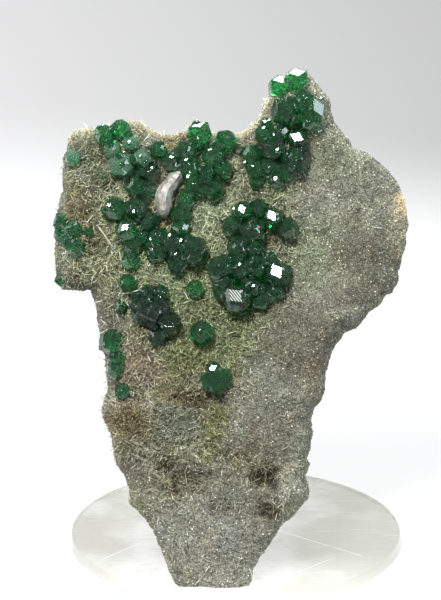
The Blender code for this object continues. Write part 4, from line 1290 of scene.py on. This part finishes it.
FLOOR_HALF = 2.0
SWEEP_START = 1.3
SWEEP_ROUND = 0.25
FLOOR_WHITE = "#ffffff"
# The greys are painted shade: the backdrop darkens behind the specimen and to the right, as less of the
# lamps' light falls there.
FLOOR_GREY_LEFT = "#deddde"
FLOOR_GREY_RIGHT = "#c3c3c2"
# Each runs between two places, in metres, from one value to another.
GREYS_BEHIND = (0.1245, 0.2105, 0, 1)
GREYS_RIGHTWARDS = (-0.045, 0.04, 0, 1)
REFLECTS = (-0.07, -0.036, 0.08, 0.27)  # little in front, so the crystals mirror no bright floor
GLOWS = (-0.055, -0.032, 0, 0.54)
# Under the disc the paper glows more: a painted pool of light where the disc gathers light onto it.
GLOWS_UNDER_DISC = (-0.02, -0.007, 0.55, 0.06)  # more, as the disc gathers light onto the paper
SLANT = 0.3  # of the grey's edge: it comes nearer to the right

# Plain white paper, matt, with painted shade: it greys behind the specimen and more to the right, and is
# dimmed in front so the crystals mirror no bright floor. From just in front of the disc backwards it also
# glows, so that it stays white there however little of the lamps' light it gives back.
paper, tree, shader, place = new_material("pale_paper", Roughness=0.9, Specular_IOR_Level=0.1)
parts = add_node(tree, "ShaderNodeSeparateXYZ", {0: place})
right, behind = parts.outputs[0], parts.outputs[1]
slant = add_node(tree, "ShaderNodeMath", {0: right, 1: SLANT, 2: behind}, operation="MULTIPLY_ADD").outputs[0]
greyed, rightwards, reflected, glow, painted_glow_under_disc = (
    add_node(
        tree, "ShaderNodeMapRange",
        {"Value": value, "From Min": start, "From Max": end, "To Min": low, "To Max": high},
        interpolation_type=rise,
    ).outputs[0]
    for value, (start, end, low, high), rise in (
        (slant, GREYS_BEHIND, "SMOOTHSTEP"), (right, GREYS_RIGHTWARDS, "LINEAR"),
        (behind, REFLECTS, "SMOOTHSTEP"), (behind, GLOWS, "LINEAR"), (behind, GLOWS_UNDER_DISC, "LINEAR"),
    )
)  # fmt: skip
greys = add_node(
    tree, "ShaderNodeMix",
    {0: rightwards, 6: linear(FLOOR_GREY_LEFT), 7: linear(FLOOR_GREY_RIGHT)}, data_type="RGBA",
).outputs[2]  # fmt: skip
colours = add_node(
    tree, "ShaderNodeMix", {0: greyed, 6: linear(FLOOR_WHITE), 7: greys}, data_type="RGBA"
).outputs[2]
dimmed = add_node(tree, "ShaderNodeVectorMath", {0: colours, 3: reflected}, operation="SCALE").outputs[0]
tree.links.new(dimmed, shader.inputs["Base Color"])
off_centre = add_node(tree, "ShaderNodeVectorMath", {0: place}, operation="LENGTH").outputs["Value"]
under = add_node(
    tree, "ShaderNodeMath", {0: off_centre, 1: DISC_RADIUS * MM}, operation="LESS_THAN"
).outputs[0]
# The glow, raised under the disc as a painted pool of light.
glow = add_node(tree, "ShaderNodeMath", {0: under, 1: painted_glow_under_disc, 2: glow}, operation="MULTIPLY_ADD").outputs[0]
tree.links.new(colours, shader.inputs["Emission Color"])
tree.links.new(glow, shader.inputs["Emission Strength"])


def sweep_grid():
    """A profile carried from side to side: flat from the front to SWEEP_START behind the specimen,
    then a quarter round up, then straight up."""
    turn = np.linspace(0, math.pi / 2, 16)
    wall = SWEEP_START + SWEEP_ROUND
    back = np.concatenate([[-FLOOR_HALF], SWEEP_START + SWEEP_ROUND * np.sin(turn), [wall]])
    up = np.concatenate([[0], SWEEP_ROUND * (1 - np.cos(turn)), [FLOOR_HALF]]) + 0.00005
    across = np.array([-FLOOR_HALF, FLOOR_HALF])
    x, y = np.meshgrid(across, back)
    return np.stack([x, y, np.repeat(up[:, None], 2, axis=1)], axis=-1)


sweep = sweep_grid()
first = np.arange(len(sweep) - 1) * 2
sweep_faces = np.stack([first, first + 1, first + 3, first + 2], axis=-1)
floor = bpy.data.objects.new("floor", mesh_of("floor", sweep.reshape(-1, 3), sweep_faces))
floor.data.materials.append(paper)
bpy.context.scene.collection.objects.link(floor)


def add_lamp(name, way, distance, size, power, colour=(1, 1, 1), aim=(0, 0, 0.04)):
    """A square soft lamp that far off in that direction, turned to the specimen."""
    lamp = bpy.data.lights.new(name, "AREA")
    lamp.size = size
    lamp.energy = power
    lamp.color = colour
    made = bpy.data.objects.new(name, lamp)
    made.location = Vector(aim) + Vector(way).normalized() * distance
    made.rotation_euler = Vector(way).to_track_quat("Z", "Y").to_euler()
    bpy.context.scene.collection.objects.link(made)


add_lamp("front_lamp", (-0.23, -0.62, 0.76), 0.6, 0.15, 5.1)
add_lamp("left_lamp", (-0.95, -0.1, 0.35), 0.6, 0.4, 1.3)
add_lamp("top_lamp", (0.1, 0.45, 0.9), 0.6, 0.3, 4.2)
add_lamp("window", (0.9, -0.2, 0.45), 0.7, 0.4, 3.4, (0.8, 0.95, 1))

world = bpy.data.worlds.new("pale_room")
world.use_nodes = True
world.node_tree.nodes["Background"].inputs["Color"].default_value = (0.9, 0.95, 1, 1)
world.node_tree.nodes["Background"].inputs["Strength"].default_value = 0.18
bpy.context.scene.world = world
bpy.context.scene.view_settings.view_transform = "Standard"

VIEW_MIDDLE = (220.5, 300)  # the view's own middle
VIEW_HEIGHT = 600
upwards = Vector((0, math.sin(VIEW_ELEVATION), math.cos(VIEW_ELEVATION)))
backwards = Vector((0, -math.cos(VIEW_ELEVATION), math.sin(VIEW_ELEVATION)))
disc_top = Vector((0, 0, DISC_THICKNESS * MM))
eye = disc_top + backwards * VIEW_DISTANCE * MM
middle_a, middle_b = view_mm(VIEW_MIDDLE)
aim = disc_top + (Vector((1, 0, 0)) * middle_a + upwards * middle_b) * MM
camera = bpy.data.objects.new("camera", bpy.data.cameras.new("camera"))
camera.data.sensor_fit = "VERTICAL"
camera.data.sensor_height = 24
camera.data.lens = 24 * (aim - eye).length / (VIEW_HEIGHT * UNIT * MM)
camera.data.clip_start = 0.01
camera.location = eye
camera.rotation_euler = (eye - aim).to_track_quat("Z", "Y").to_euler()
bpy.context.scene.collection.objects.link(camera)
bpy.context.scene.camera = camera
